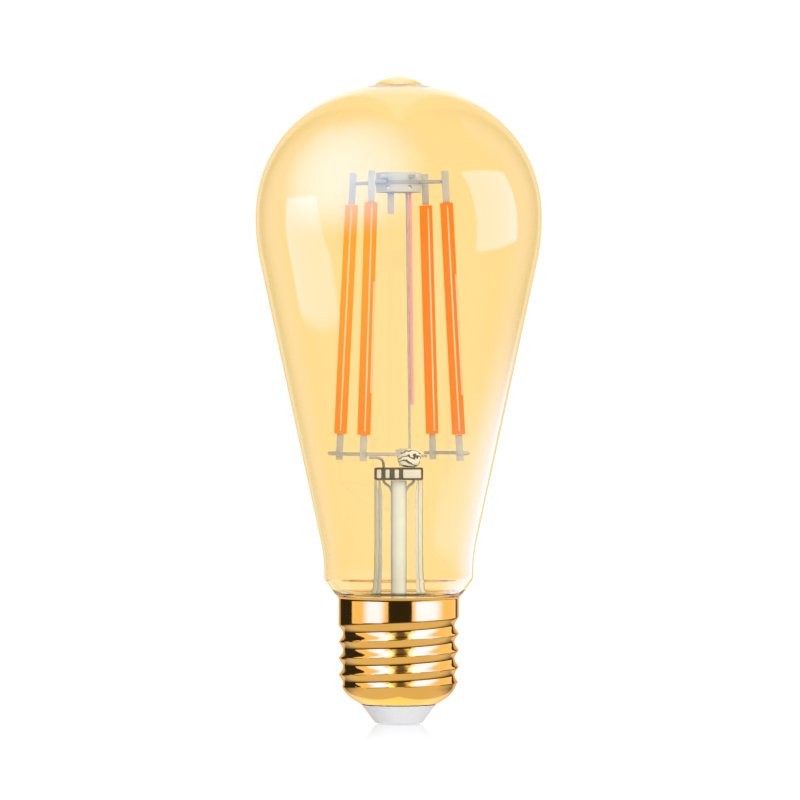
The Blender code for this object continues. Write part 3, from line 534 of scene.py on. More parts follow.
print("glass envelope")
glass = {
    "radius": 31.5 * mm, "wall": 1.0 * mm, "sides": 192,
    "domeHeight": 29.6 * mm, "domeFullness": 2.1,
    "tipRadius": 5.8 * mm, "tipHeight": 1.6 * mm, "tipBlend": 0.5 * mm,
    "bellyRadius": 41.6 * mm, "waistRadius": 36.8 * mm, "waist": 16.35 * mm, "waistLand": 0.3 * mm,
    "footFillet": 1.8 * mm, "footGap": 0.15 * mm, "footRadius": 13.8 * mm, "footSlant": 35.0,
    "neckRadius": 12.1 * mm,
}
neckLow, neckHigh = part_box("glass_envelope")
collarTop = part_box("screw_shell")[1].z
crownZ = neckHigh.z - glass["tipHeight"]
widestZ = crownZ - glass["domeHeight"]


def envelopeSide(inset):
    g = glass
    widest = g["radius"] - inset
    slant = math.radians(g["footSlant"])
    ledgeZ = collarTop + g["footGap"]
    cone = (g["waist"] - g["footRadius"]) / math.tan(slant)
    filletTop = ledgeZ + cone + g["footFillet"] * math.tan(slant / 2)
    waistZ = filletTop + g["waistLand"]
    drop = widestZ - waistZ
    both = g["bellyRadius"] + g["waistRadius"]
    across = both - (g["radius"] - g["waist"])
    lean = math.atan2(drop, across) - math.acos(both / math.hypot(across, drop))
    side = []
    for a in steps(math.radians(90), 0.0, 72)[:-1]:
        side.append((
            widest * max(math.cos(a), 0.0) ** (2 / g["domeFullness"]),
            widestZ + (g["domeHeight"] - inset) * math.sin(a) ** (2 / g["domeFullness"]),
        ))
    belly, hollow, fillet = g["bellyRadius"] - inset, g["waistRadius"] + inset, g["footFillet"] - inset
    side += [
        (widest - belly + belly * math.cos(a), widestZ - belly * math.sin(a)) for a in steps(0.0, lean, 14)
    ]
    top = side[-1]
    bottom = (g["waist"] + g["waistRadius"] - hollow * math.cos(lean), waistZ + hollow * math.sin(lean))
    side += [
        (top[0] + (bottom[0] - top[0]) * t, top[1] + (bottom[1] - top[1]) * t)
        for t in steps(0.0, 1.0, 16)[1:-1]
    ]
    side += [
        (g["waist"] + g["waistRadius"] - hollow * math.cos(a), waistZ + hollow * math.sin(a))
        for a in steps(lean, 0.0, 14)
    ]
    neck = g["neckRadius"] - inset
    side += [
        (g["waist"] - g["footFillet"] + fillet * math.cos(a), filletTop - fillet * math.sin(a))
        for a in steps(0.0, slant, 8)
    ]
    corner = (g["footRadius"] - inset * (1 - math.sin(slant)) / math.cos(slant), ledgeZ + inset)
    last = side[-1]
    side += [
        (last[0] + (corner[0] - last[0]) * t, last[1] + (corner[1] - last[1]) * t)
        for t in steps(0.0, 0.86, 5)[1:]
    ]
    side += [(corner[0] - 0.12 * mm, corner[1] + 0.02 * mm), (corner[0] - 0.4 * mm, corner[1])]
    side += [
        (neck + 0.35 * mm, corner[1]), (neck + 0.1 * mm, corner[1] - 0.1 * mm),
        (neck, corner[1] - 0.35 * mm), (neck, neckLow.z)
    ]
    return side


def tipped(side):
    # the sealed tip: a low round cap on the crown, run into the dome with a small hollow
    base = glass["tipRadius"]
    share = (base / glass["radius"]) ** glass["domeFullness"]
    baseZ = widestZ + glass["domeHeight"] * (1 - share) ** (1 / glass["domeFullness"])
    rise = neckHigh.z - baseZ
    arc = (base ** 2 + rise ** 2) / (2 * rise)
    cap = [
        (arc * math.sin(a), neckHigh.z - arc * (1 - math.cos(a)))
        for a in steps(0.0, math.asin(base / arc) * 0.97, 22)
    ]
    return cap + [p for p in side if p[0] > base * 1.03]


def underTip(point):
    # the inner side rises a little under the tip
    radius, z = point
    lift = (glass["tipHeight"] - 0.35 * mm) * ease(1 - radius / (glass["tipRadius"] * 0.95))
    return (radius, z + lift if z > widestZ else z)


def domeZ(radius, inset):
    share = (radius / (glass["radius"] - inset)) ** glass["domeFullness"]
    return widestZ + (glass["domeHeight"] - inset) * (1 - share) ** (1 / glass["domeFullness"])


crownInner = [(r, domeZ(r, glass["wall"])) for r in steps(0.0, 5.9 * mm, 24)]
inner = [(r, z) for r, z in envelopeSide(glass["wall"]) if r > 6 * mm or z < widestZ]
inner = [underTip(p) for p in crownInner + inner]
settle(
    "glassEnvelope", turned(tipped(envelopeSide(0.0)) + inner[::-1], glass["sides"]),
    amberGlass, ["glass_envelope"], sharp=30.0,
)


# screw cap

print("screw cap")
cap = {
    "crest": 13.2 * mm, "depth": 0.95 * mm, "pitch": 25.4 / 7 * mm, "wall": 0.4 * mm,
    "sides": 240, "rowsInPitch": 16, "crestSharpness": 0.62, "runOut": 0.35,
    "collar": 6.4 * mm, "lip": 0.4 * mm, "lipHeight": 0.55 * mm,
    "threadHeight": 13.4 * mm, "coneHeight": 3.9 * mm, "coneMouth": 8.3 * mm, "coneBulge": 0.25 * mm,
}
shellLow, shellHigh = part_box("screw_shell")
coneMouthZ = shellLow.z
threadBottomZ = coneMouthZ + cap["coneHeight"]
collarBottomZ = shellHigh.z - cap["collar"]


def coneRadius(z):
    share = min(max((z - coneMouthZ) / cap["coneHeight"], 0.0), 1.0)
    widest = cap["crest"] - cap["depth"] + cap["coneBulge"]
    straight = cap["coneMouth"] + (widest - cap["coneMouth"]) * share
    return straight + 3.2 * cap["coneBulge"] * math.sin(math.pi * share)


def grooveDepth(angle, z):
    turn = (angle / (2 * math.pi) + 0.5) % 1.0
    along = (collarBottomZ - z) / cap["pitch"] + turn
    if along < 0:
        return 0.0
    valley = (0.5 - 0.5 * math.cos(2 * math.pi * along)) ** cap["crestSharpness"]
    runOut = ease((1 - turn) / cap["runOut"]) if along < 1 else 1.0
    return cap["depth"] * valley * runOut


def shellRadius(angle, z):
    if z >= collarBottomZ + cap["pitch"]:
        rise = (z - (shellHigh.z - cap["lipHeight"])) / cap["lipHeight"]
        return cap["crest"] + cap["lip"] * ease(rise)
    threaded = cap["crest"] - grooveDepth(angle, z)
    if z < threadBottomZ + cap["pitch"]:
        slope = (z - threadBottomZ) / cap["pitch"]
        if slope < 0:
            return min(threaded, coneRadius(z))
        return min(threaded, coneRadius(threadBottomZ) + cap["depth"] * 2 * slope)
    return threaded


def shellPlace(radius, angle, z):
    inside = radius < cap["crest"] - cap["wall"] / 2
    r = shellRadius(angle, z) - (cap["wall"] * (1.4 if z < threadBottomZ else 1.0) if inside else 0.0)
    return (r * math.cos(angle), r * math.sin(angle), z)


threadRows = math.ceil((cap["threadHeight"] + cap["pitch"]) / cap["pitch"] * cap["rowsInPitch"])
grooveTopZ = collarBottomZ + cap["pitch"]
lipBottomZ = shellHigh.z - cap["lipHeight"]
heights = steps(coneMouthZ, threadBottomZ, 20)[:-1] + steps(threadBottomZ, grooveTopZ, threadRows)
heights += steps(grooveTopZ, lipBottomZ, 6)[1:-1] + steps(lipBottomZ, shellHigh.z, 8)
outside = [(cap["crest"], z) for z in heights]
insideWall = [(cap["crest"] - cap["wall"], z) for z in reversed(heights[::4] + [heights[-1]])]
settle(
    "screwShell", turned(outside + insideWall, cap["sides"], shellPlace), goldPlate, ["screw_shell"],
    sharp=50.0
)

insulator = {
    "tip": 5.4 * mm, "tipRound": 0.5 * mm, "bore": 1.25 * mm, "pocket": 4.55 * mm, "pocketTop": 0.55 * mm,
    "sides": 120
}
lowI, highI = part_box("cap_insulator")
mouth = cap["coneMouth"] - 0.15 * mm
innerMouth = mouth - cap["wall"] * 1.5
outline = [
    (insulator["bore"], insulator["pocketTop"]), (insulator["pocket"], insulator["pocketTop"]),
    (insulator["pocket"], lowI.z)
]
outline.append((insulator["tip"] - insulator["tipRound"], lowI.z))
slope = math.atan2(coneMouthZ - lowI.z, mouth - insulator["tip"])
for a in steps(-math.pi / 2, slope - math.pi / 2, 8)[1:]:
    outline.append((
        insulator["tip"] - insulator["tipRound"] + insulator["tipRound"] * math.cos(a),
        lowI.z + insulator["tipRound"] + insulator["tipRound"] * math.sin(a),
    ))
outline += [
    (mouth - 0.1 * mm, coneMouthZ - 0.3 * mm), (mouth, coneMouthZ - 0.15 * mm),
    (innerMouth, coneMouthZ - 0.15 * mm)
]
outline += [
    (innerMouth, coneMouthZ + 0.55 * mm), (highI.x, highI.z - 0.2 * mm), (highI.x - 0.2 * mm, highI.z),
    (insulator["bore"], highI.z)
]
settle(
    "capInsulator", turned(outline, insulator["sides"]), insulatorGlaze, ["cap_insulator"]
)

contact = {
    "radius": 4.4 * mm, "thickness": 0.45 * mm, "pin": 1.1 * mm, "dimple": 1.5 * mm,
    "dimpleDepth": 0.12 * mm, "sides": 96
}
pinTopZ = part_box("centre_contact")[1].z
outline = [(0.0, contact["dimpleDepth"])]
outline += [(contact["dimple"] * t, contact["dimpleDepth"] * (1 - ease(t))) for t in steps(0.0, 1.0, 8)[1:]]
outline += [
    (contact["radius"] - 0.25 * mm + 0.25 * mm * math.sin(a), 0.25 * mm - 0.25 * mm * math.cos(a))
    for a in steps(0.0, math.pi / 2, 6)
]
outline += [
    (contact["radius"], contact["thickness"]), (contact["pin"], contact["thickness"]),
    (contact["pin"], pinTopZ - 0.2 * mm), (contact["pin"] - 0.2 * mm, pinTopZ), (0.0, pinTopZ)
]
settle("centreContact", turned(outline, contact["sides"]), nickelPlate, ["centre_contact"])


# stem: tube with flare, press, exhaust tube and bead

print("glass stem")
stem = {
    "radius": 5.35 * mm, "wall": 0.9 * mm, "flareDecay": 2.35 * mm, "flareThickness": 0.9 * mm,
    "flatHeight": 4.0 * mm, "flatShare": 0.68, "sides": 96,
}
lowS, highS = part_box("stem_tube")
flareBottomZ = lowS.z
flareTopZ = flareBottomZ + stem["flareThickness"]


def stemRadius(z):
    return stem["radius"] + (glass["neckRadius"] - stem["radius"]) * math.exp(
        -(z - flareBottomZ) / stem["flareDecay"]
    )


def stemPlace(radius, angle, z):
    flat = ease((z - (highS.z - stem["flatHeight"])) / stem["flatHeight"])
    return (radius * math.cos(angle), radius * math.sin(angle) * (1 - (1 - stem["flatShare"]) * flat), z)


rows = steps(flareTopZ + 1.2 * mm, highS.z, 60)
outline = [
    (glass["neckRadius"], flareBottomZ), (glass["neckRadius"], flareTopZ),
    (glass["neckRadius"] - 1.3 * mm, flareTopZ)
]
outline += [(stemRadius(z), z) for z in rows]
outline += [
    (
        stemRadius(z) - stem["wall"],
        z - (stem["flareThickness"] if z < highS.z - 1.5 * stem["flatHeight"] else 0.0)
    )
    for z in reversed(rows)
]
settle("stemTube", turned(outline, stem["sides"], stemPlace), clearGlass, ["stem_tube"])

lowP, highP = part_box("stem_press")
centreP = (lowP + highP) / 2
sizeP = highP - lowP
press = {"edge": 0.35 * mm, "proud": 0.12 * mm, "barEdge": 0.3 * mm, "rim": 0.34 * mm,
         "bars": [(-4.85, -3.75), (-2.95, -1.95), (-0.95, 0.1), (0.9, 4.95)]}
coreSize = Vector((sizeP.x, sizeP.y - 2 * press["proud"], sizeP.z))
# the press core in opaque dark glass: painted shade
settle(
    "stemPress", softBox(coreSize, centreP, press["edge"], 4), pressPaintedShade, ["stem_press"],
    sharp=60.0
)
# the pale bars: painted highlights across the press
bars = []
for left, right in press["bars"]:
    size = Vector(((right - left) * mm, sizeP.y, sizeP.z - 2 * press["rim"]))
    bars.append(softBox(size, Vector(((left + right) / 2 * mm, centreP.y, centreP.z)), press["barEdge"], 4))
settle("pressFlutes", joined(*bars), pressPaintedHighlight, [], sharp=60.0)

exhaust = {"radius": 1.75 * mm, "wall": 0.5 * mm, "sides": 64}
lowE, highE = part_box("exhaust_tube")
outline = [
    (exhaust["radius"] * math.sin(a), lowE.z + exhaust["radius"] * (1 - math.cos(a)))
    for a in steps(0.0, math.pi / 2, 10)
]
outline += [(exhaust["radius"], z) for z in steps(lowE.z + exhaust["radius"], highE.z, 12)[1:]]
bore = exhaust["radius"] - exhaust["wall"]
outline += [(bore, highE.z)] + [
    (bore * math.cos(a), lowE.z + exhaust["radius"] - bore * math.sin(a))
    for a in steps(0.0, math.pi / 2, 8)
]
outline[0], outline[-1] = (0.0, outline[0][1]), (0.0, outline[-1][1])
settle("exhaustTube", turned(outline, exhaust["sides"]), milkGlass, ["exhaust_tube"])

bead = {
    "sides": 48, "lump": 0.12, "anchor": (1.5 * mm, 0.5 * mm, 3.6 * mm), "anchorLean": -14.0,
    "anchorEdge": 0.12 * mm, "anchorPlace": (-2.0 * mm, -0.4 * mm, 0.2 * mm),
}
lowB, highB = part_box("glass_bead")
centreB = (lowB + highB) / 2
halfB = (highB - lowB) / 2


def beadPlace(radius, angle, z):
    lump = 1 - bead["lump"] * (0.5 + 0.5 * math.sin(3 * angle + 900 * z))
    return (
        centreB.x + radius * lump * math.cos(angle),
        centreB.y + radius * lump * math.sin(angle) * halfB.y / halfB.x, z
    )


outline = []
for a in steps(-math.pi / 2, math.pi / 2, 28):
    bulge = abs(math.cos(a)) ** 0.62
    outline.append(
        (halfB.x * bulge, centreB.z + halfB.z * math.copysign(abs(math.sin(a)) ** 0.8, math.sin(a)))
    )
outline[0], outline[-1] = (0.0, outline[0][1]), (0.0, outline[-1][1])
settle("glassBead", turned(outline, bead["sides"], beadPlace), swirlGlass, ["glass_bead"])
lean = Matrix.Rotation(math.radians(bead["anchorLean"]), 4, "Y")
anchor = softBox(bead["anchor"], centreB + Vector(bead["anchorPlace"]), bead["anchorEdge"], 3, lean)
settle("beadAnchor", anchor, nickelPlate, [])
for vertex in bpy.data.objects["glassBead"].data.vertices:
    if abs(vertex.co.x) < 1e-9 and abs(vertex.co.y) < 1e-9:
        vertex.co.x, vertex.co.y = centreB.x, centreB.y


# wire mount

print("wire mount")
mount = {
    "arc": 0.38 * mm, "lead": 0.3 * mm, "mast": 0.26 * mm, "sleeve": 0.36 * mm, "arm": 0.42 * mm,
    "footRing": 15.0 * mm, "topRing": 12.0 * mm, "leadOffset": 3.3 * mm, "leadBack": 1.4 * mm,
    "leadFoot": (3.72 * mm, 3.1 * mm), "tuck": (1.2 * mm, 2.15 * mm), "tuckEnds": (4.7 * mm, 4.6 * mm),
}
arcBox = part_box("lower_arc_left")
arcsZ = (arcBox[0].z + arcBox[1].z) / 2
filamentFootZ = arcsZ + 4.2 * mm
filamentLength = 50.6 * mm


def ringRadius(z):
    return mount["footRing"] + (mount["topRing"] - mount["footRing"]) * (z - filamentFootZ) / filamentLength


for name, start, end in (("Right", -34.0, 68.0), ("Left", 146.0, 268.0)):
    points = [onCircle(ringRadius(arcsZ), a, arcsZ) for a in steps(start, end, 60)]
    settle(
        "lowerArc" + name, swept(points, mount["arc"]), drawnSteel, ["lower_arc_" + name.lower()],
    )

for name, side, degrees in (("Left", -1, 246.0), ("Right", 1, 66.0)):
    low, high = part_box("lead_wire_" + name.lower())
    underArc = mount["arc"] + mount["lead"] + 0.1 * mm
    end = onCircle(ringRadius(arcsZ), degrees, arcsZ - underArc)
    x, back = side * mount["leadOffset"], mount["leadBack"]
    rise = end.z - highP.z
    points = [
        (side * mount["leadFoot"][0], mount["leadFoot"][1], low.z + mount["lead"]),
        (x, 2.25 * mm, flareBottomZ),
        (side * mount["tuck"][0], mount["tuck"][1], flareTopZ + mount["tuckEnds"][0]),
        (side * mount["tuck"][0], mount["tuck"][1], lowP.z - mount["tuckEnds"][1]),
        (x, back, lowP.z - mount["lead"]),
        (x, back, highP.z + 0.1 * mm),
        (x * 1.1, back + (end.y - back) * 0.12, highP.z + rise * 0.7),
        ((x + end.x) / 2, end.y * 0.6, end.z),
        end,
    ]
    settle(
        "leadWire" + name, swept(smoothRoute(points, 12), mount["lead"]), nickelPlate,
        ["lead_wire_" + name.lower()]
    )

lowM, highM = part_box("mast_wire")
mastY = (lowM.y + highM.y) / 2
mastX = highM.x - mount["mast"]
bendZ = highB.z + 2.6 * mm
points = [
    Vector((mastX, mastY, lowM.z)), Vector((mastX, mastY, bendZ - 1 * mm)), Vector((mastX, mastY, bendZ))
]
mastTop = Vector((lowM.x + mount["mast"], mastY, highM.z))
points += [points[-1].lerp(mastTop, t) for t in steps(0.0, 1.0, 24)[1:]]
settle("mastWire", swept(points, mount["mast"], 16), drawnSteel, ["mast_wire"])

lowV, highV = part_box("sleeved_wire")
topV = Vector((lowV.x + mount["sleeve"], mastY, highV.z))
footV = Vector((highV.x - mount["sleeve"], mastY, lowV.z))
settle(
    "sleevedWire", swept([topV.lerp(footV, t) for t in steps(0.0, 1.0, 30)], mount["sleeve"], 20),
    pinkSleeve, ["sleeved_wire"]
)


# top hub

hub = {
    "wall": 0.4 * mm, "hole": 0.5 * mm, "sides": 96, "edge": 0.12 * mm,
    "rowOffset": 1.15 * mm, "holeTurn": 60.0, "drillReach": 8,  # reach in mm each way
}
lowH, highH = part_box("top_hub")
hubRadius = (highH.x - lowH.x) / 2
armsZ = middle("hub_belt").z
r, w, e = hubRadius, hub["wall"], hub["edge"]
outline = [(0.0, highH.z)]
outline += [
    (r - e * 3 + e * 3 * math.sin(a), highH.z - e * 3 + e * 3 * math.cos(a))
    for a in steps(0.0, math.pi / 2, 5)
]
outline += [(r, z) for z in steps(highH.z - e * 4, lowH.z + e, 8)]
outline += [
    (r - w / 2 + w / 2 * math.cos(a), lowH.z + e - e * math.sin(a)) for a in steps(0.0, math.pi, 6)[1:-1]
]
outline += [(r - w, lowH.z + e), (r - w, highH.z - w), (0.0, highH.z - w)]
topHub = settle("topHub", turned(outline, hub["sides"]), hubPlate, ["top_hub"])
for row in range(2):
    z = armsZ + (2 * row - 1) * hub["rowOffset"]
    for axis in range(3):
        along = onCircle(1.0, hub["holeTurn"] * (axis + 1), 0.0)
        reach, heart = along * hub["drillReach"] * mm, Vector((0, 0, z))
        tool = link(bpy.data.objects.new("hubDrill", bpy.data.meshes.new("hubDrill")))
        bm = swept([heart - reach, heart, heart + reach], hub["hole"], 24)
        bmesh.ops.recalc_face_normals(bm, faces=bm.faces)
        bm.to_mesh(tool.data)
        bm.free()
        drill = topHub.modifiers.new("drill", "BOOLEAN")
        drill.operation, drill.solver, drill.object = "DIFFERENCE", "EXACT", tool
        with bpy.context.temp_override(object=topHub, active_object=topHub, selected_objects=[topHub]):
            bpy.ops.object.modifier_apply(modifier=drill.name)
        bpy.data.objects.remove(tool)
topHub.data.shade_smooth()
topHub.data.set_sharp_from_angle(angle=math.radians(35))

lowT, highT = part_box("hub_belt")
beltOut = (highT.x - lowT.x) / 2
outline = []
for cx, cz, start in (
    (beltOut - e, highT.z - e, 90), (beltOut - 0.4 * mm + e, highT.z - e, 180),
    (beltOut - 0.4 * mm + e, lowT.z + e, 270), (beltOut - e, lowT.z + e, 360)
):
    outline += [
        (cx + e * math.cos(math.radians(a)), cz + e * math.sin(math.radians(a)))
        for a in steps(start - 90, start, 4)
    ]
settle("hubBelt", turned(outline, hub["sides"]), beltPlate, ["hub_belt"])
settle(
    "hubTab", softBox(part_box("hub_tab")[1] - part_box("hub_tab")[0], middle("hub_tab"), 0.1 * mm, 3),
    nickelPlate, ["hub_tab"]
)
for number in range(1, 5):
    degrees = -30.0 + 90.0 * (number - 1)
    reach = ringRadius(armsZ) - 0.75 * mm
    points = [onCircle(r, degrees, armsZ) for r in steps(beltOut + 0.1 * mm, reach, 8)]
    settle(f"hubArm{number}", swept(points, mount["arm"]), drawnSteel, [f"hub_arm_{number}"])


# filaments

print("filaments")
filament = {
    "coat": 1.42 * mm, "length": filamentLength, "endRound": 0.18 * mm, "sides": 40,
    # the line offsets and extra lines place the painted highlight lines across each strip
    "line": 0.21 * mm, "highlightOffsets": (0.15 * mm, 0.45 * mm, 0.0, 0.2 * mm), "lineMargin": 0.7 * mm,
    "extraHighlightOffset": 1.12 * mm, "extraHighlights": {1: (0.17, 0.69), 4: (0.18, 0.66)},
    "terminalWidth": 1.5 * mm, "terminalThickness": 0.75 * mm,
    "lowerLength": 5.6 * mm, "upperLength": 6.9 * mm,
    "terminalGap": 0.1 * mm, "terminalEdge": 0.12 * mm, "terminalTurn": 120.0,
}


def filamentFrame(number):
    degrees = -30.0 + 90.0 * (number - 1)
    foot = onCircle(mount["footRing"], degrees, filamentFootZ)
    head = onCircle(mount["topRing"], degrees, filamentFootZ + filament["length"])
    up = (head - foot).normalized()
    outwards = onCircle(1.0, degrees, 0.0)
    sideways = outwards.cross(up).normalized()
    outwards = up.cross(sideways)
    return Matrix.Translation(foot) @ Matrix((sideways, outwards, up)).transposed().to_4x4()


def placed(bm, matrix):
    bmesh.ops.transform(bm, matrix=matrix, verts=bm.verts)
    return bm


for number in range(1, 5):
    place = filamentFrame(number)
    node = f"filament_{number}"
    f = filament
    outline = [(0.0, 0.0)]
    outline += [
        (f["coat"] - f["endRound"] + f["endRound"] * math.sin(a), f["endRound"] * (1 - math.cos(a)))
        for a in steps(0.0, math.pi / 2, 5)
    ]
    outline += [(f["coat"], z) for z in steps(f["endRound"], f["length"] - f["endRound"], 40)[1:]]
    outline += [
        (
            f["coat"] - f["endRound"] + f["endRound"] * math.cos(a),
            f["length"] - f["endRound"] * (1 - math.sin(a))
        )
        for a in steps(0.0, math.pi / 2, 5)[1:]
    ]
    outline.append((0.0, f["length"]))
    settle(
        f"filament{number}Coating", placed(turned(outline, f["sides"]), place), litPhosphor,
        [f"{node}_coating", f"{node}_substrate"]
    )

    # lit line of chips, turned to face the front and the back whatever way the strip faces: the real chip
    # row, drawn as a painted highlight on the coating
    base = place.to_3x3()
    up = base @ Vector((0, 0, 1))
    lines = []
    for face in (-1, 1):
        normal = Vector((0, face, 0))
        normal = (normal - up * normal.dot(up)).normalized()
        across = up.cross(normal)
        margin = f["lineMargin"] / f["length"]
        runs = [(f["highlightOffsets"][number - 1], margin, 1 - margin)]
        if number in f["extraHighlights"]:
            runs.append((f["extraHighlightOffset"], *f["extraHighlights"][number]))
        for offset, low, high in runs:
            depth = math.sqrt(f["coat"] ** 2 - offset ** 2) - f["line"] * 0.75
            middleLine = [place @ Vector((0, 0, f["length"] * t)) for t in steps(low, high, 4)]
            outwards = across * offset * -face + normal * depth
            lines.append(swept([p + outwards for p in middleLine], f["line"], 16))
    settle(f"filament{number}Chips", joined(*lines), chipPaintedHighlight, [f"{node}_chips"])

    for label, low, length in (
        ("lower", -f["terminalGap"] - f["lowerLength"], f["lowerLength"]),
        ("upper", f["length"] + f["terminalGap"], f["upperLength"])
    ):
        turn = Matrix.Rotation(math.radians(f["terminalTurn"] - 90.0 * (number - 1)), 4, "Z")
        size = (f["terminalWidth"], f["terminalThickness"], length)
        tab = softBox(size, (0, 0, low + length / 2), f["terminalEdge"], 3)
        settle(
            f"filament{number}{label.title()}Tab", placed(tab, place @ turn), nickelPlate,
            [f"{node}_{label}_terminal"]
        )


# pieces that stay as the frame has them, in better finishes

print("driver")
kept = {
    "neck_cement": cementPaintedGlow, "driver_sleeve": sleeveFilm, "driver_board": boardGreen,
    "bulk_capacitor": canSleeve, "choke_coil": ferriteGrey, "rectifier": chipBlack,
    "driver_chip": chipBlack, "fuse_resistor": fuseBody,
    "fuse_lead": copperBare, "line_wire": wireRed, "neutral_wire": wireBlue, "radio_board": radioBlack,
    "radio_shield": shieldTin, "radio_antenna": copperBare,
}
for node, material in kept.items():
    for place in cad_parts[node].material_slots:
        place.material = material


# studio

print("studio")
studio = {
    "distance": 1.2, "elevation": 0.2, "view": 0.17562, "shiftX": 0.0016,
    "floorRadius": 6.0, "polish": 0.45,
    "backdrop": 1.06, "bounce": 0.85, "fromFront": 4.0, "fromRight": 0.95,
    "gloom": 0.03, "below": 0.84, "behind": 1.1, "warmScreens": 0.8, "warmColour": (1.0, 0.70, 0.30),
    "mirrorReach": 0.085, "mirrorBlur": 0.05, "floorDrop": 0.05 * mm, "frontPower": 4.0,
    # in degrees: where the white below, the white behind and the warm screens start and are full
    "belowRange": (-8, -42), "behindRange": (166, 172),
    "horizonRange": (-0.5, 0.5), "warmRange": (146, 156),
}
scene = bpy.context.scene
scene.view_settings.view_transform = "Standard"
scene.cycles.max_bounces = 32
scene.cycles.transmission_bounces = 32
scene.cycles.glossy_bounces = 12
scene.cycles.transparent_max_bounces = 24
scene.cycles.caustics_reflective = False


def rayKinds(tree):
    # mirrored: seen in a first reflection. soft: light that reaches a matt surface
    path = addNode(tree, "ShaderNodeLightPath")
    straight = mathNode(tree, "SUBTRACT", 1.0, path.outputs["Is Transmission Ray"])
    mirrored = mathNode(tree, "MULTIPLY", path.outputs["Is Glossy Ray"], straight)
    return mirrored, path.outputs["Is Diffuse Ray"], path.outputs["Is Transmission Ray"]


def screen(tree, place, corners, soft):
    # mask of a flat shape with soft edges; its corners go anticlockwise and it has no hollow side
    mask = None
    for (x0, y0), (x1, y1) in zip(corners, corners[1:] + corners[:1]):
        length = math.hypot(x1 - x0, y1 - y0)
        across = ((y0 - y1) / length, (x1 - x0) / length)
        offset = -(across[0] * x0 + across[1] * y0)
        side = addNode(
            tree, "ShaderNodeVectorMath", [(0, place)], operation="DOT_PRODUCT", in_1=(*across, offset)
        )
        edge = eased(tree, side.outputs["Value"], -soft, soft)
        mask = edge if mask is None else mathNode(tree, "MULTIPLY", mask, edge)
    return mask


# white floor: as white as the backdrop, with a faint mirror image near the foot of the cap
floorMaterial, tree, shader = newMaterial("floorWhite", roughness=1.0)
tree.nodes.remove(shader)
soft, through = rayKinds(tree)[1:]
length = addNode(tree, "ShaderNodeVectorMath", [(0, objectPlace(tree))], operation="LENGTH")
nearness = eased(tree, length.outputs["Value"], studio["mirrorReach"], 0.0)
polish = mathNode(tree, "MULTIPLY", nearness, studio["polish"])
mirror = addNode(tree, "ShaderNodeBsdfGlossy")
mirror.inputs["Roughness"].default_value = studio["mirrorBlur"]
mirror.inputs["Color"].default_value = (1, 1, 1, 1)
level = mathNode(
    tree, "SUBTRACT", studio["backdrop"], mathNode(tree, "MULTIPLY", soft, studio["backdrop"] - 1.0)
)
glowing = addNode(tree, "ShaderNodeEmission", [(1, level)])
anyKind = mathNode(tree, "MAXIMUM", soft, through)
share = mathNode(tree, "MULTIPLY", polish, mathNode(tree, "SUBTRACT", 1.0, anyKind))
mix = addNode(tree, "ShaderNodeMixShader", [(0, share), (1, glowing.outputs[0]), (2, mirror.outputs[0])])
tree.links.new(mix.outputs[0], tree.nodes["Material Output"].inputs["Surface"])
bm = bmesh.new()
bmesh.ops.create_grid(bm, x_segments=4, y_segments=4, size=studio["floorRadius"])
mesh = bpy.data.meshes.new("floor")
bm.to_mesh(mesh)
bm.free()
mesh.materials.append(floorMaterial)
floor = link(bpy.data.objects.new("floor", mesh))
floor.location.z = -studio["floorDrop"]
floor.visible_glossy = False

# the room: plain white straight ahead and through glass, brighter from front and back on matt
# surfaces, and in first reflections dark, with white below and warm screens far behind
world = bpy.data.worlds.new("studioWorld")
scene.world = world
world.use_nodes = True
tree = world.node_tree
back = tree.nodes["Background"]
coords = addNode(tree, "ShaderNodeTexCoord")
parts = addNode(tree, "ShaderNodeSeparateXYZ", [(0, coords.outputs["Generated"])])
mirrored, soft = rayKinds(tree)[:2]
front = mathNode(tree, "MULTIPLY", parts.outputs[1], -1.0)
azimuth = mathNode(tree, "MULTIPLY", mathNode(tree, "ARCTAN2", parts.outputs[0], front), 180 / math.pi)
elevation = mathNode(tree, "MULTIPLY", mathNode(tree, "ARCSINE", parts.outputs[2]), 180 / math.pi)
turnedAway = mathNode(tree, "ABSOLUTE", azimuth)
below = mathNode(tree, "MULTIPLY", eased(tree, elevation, *studio["belowRange"]), studio["below"])
aboveFloor = eased(tree, elevation, *studio["horizonRange"])
behind = mathNode(tree, "MULTIPLY", eased(tree, turnedAway, *studio["behindRange"]), aboveFloor)
dim = mathNode(tree, "ADD", below, studio["gloom"])
neutral = mathNode(tree, "ADD", dim, mathNode(tree, "MULTIPLY", behind, studio["behind"]))
warm = mathNode(tree, "SUBTRACT", eased(tree, turnedAway, *studio["warmRange"]), behind)
neutralColour = addNode(tree, "ShaderNodeCombineXYZ", [(0, neutral), (1, neutral), (2, neutral)])
warmColour = addNode(tree, "ShaderNodeVectorMath", operation="SCALE")
warmColour.inputs[0].default_value = studio["warmColour"]
warmLevel = mathNode(tree, "MULTIPLY", mathNode(tree, "MAXIMUM", warm, 0.0), studio["warmScreens"])
tree.links.new(warmLevel, warmColour.inputs["Scale"])
reflected = addNode(
    tree, "ShaderNodeVectorMath", [(0, neutralColour.outputs[0]), (1, warmColour.outputs[0])],
    operation="ADD"
)

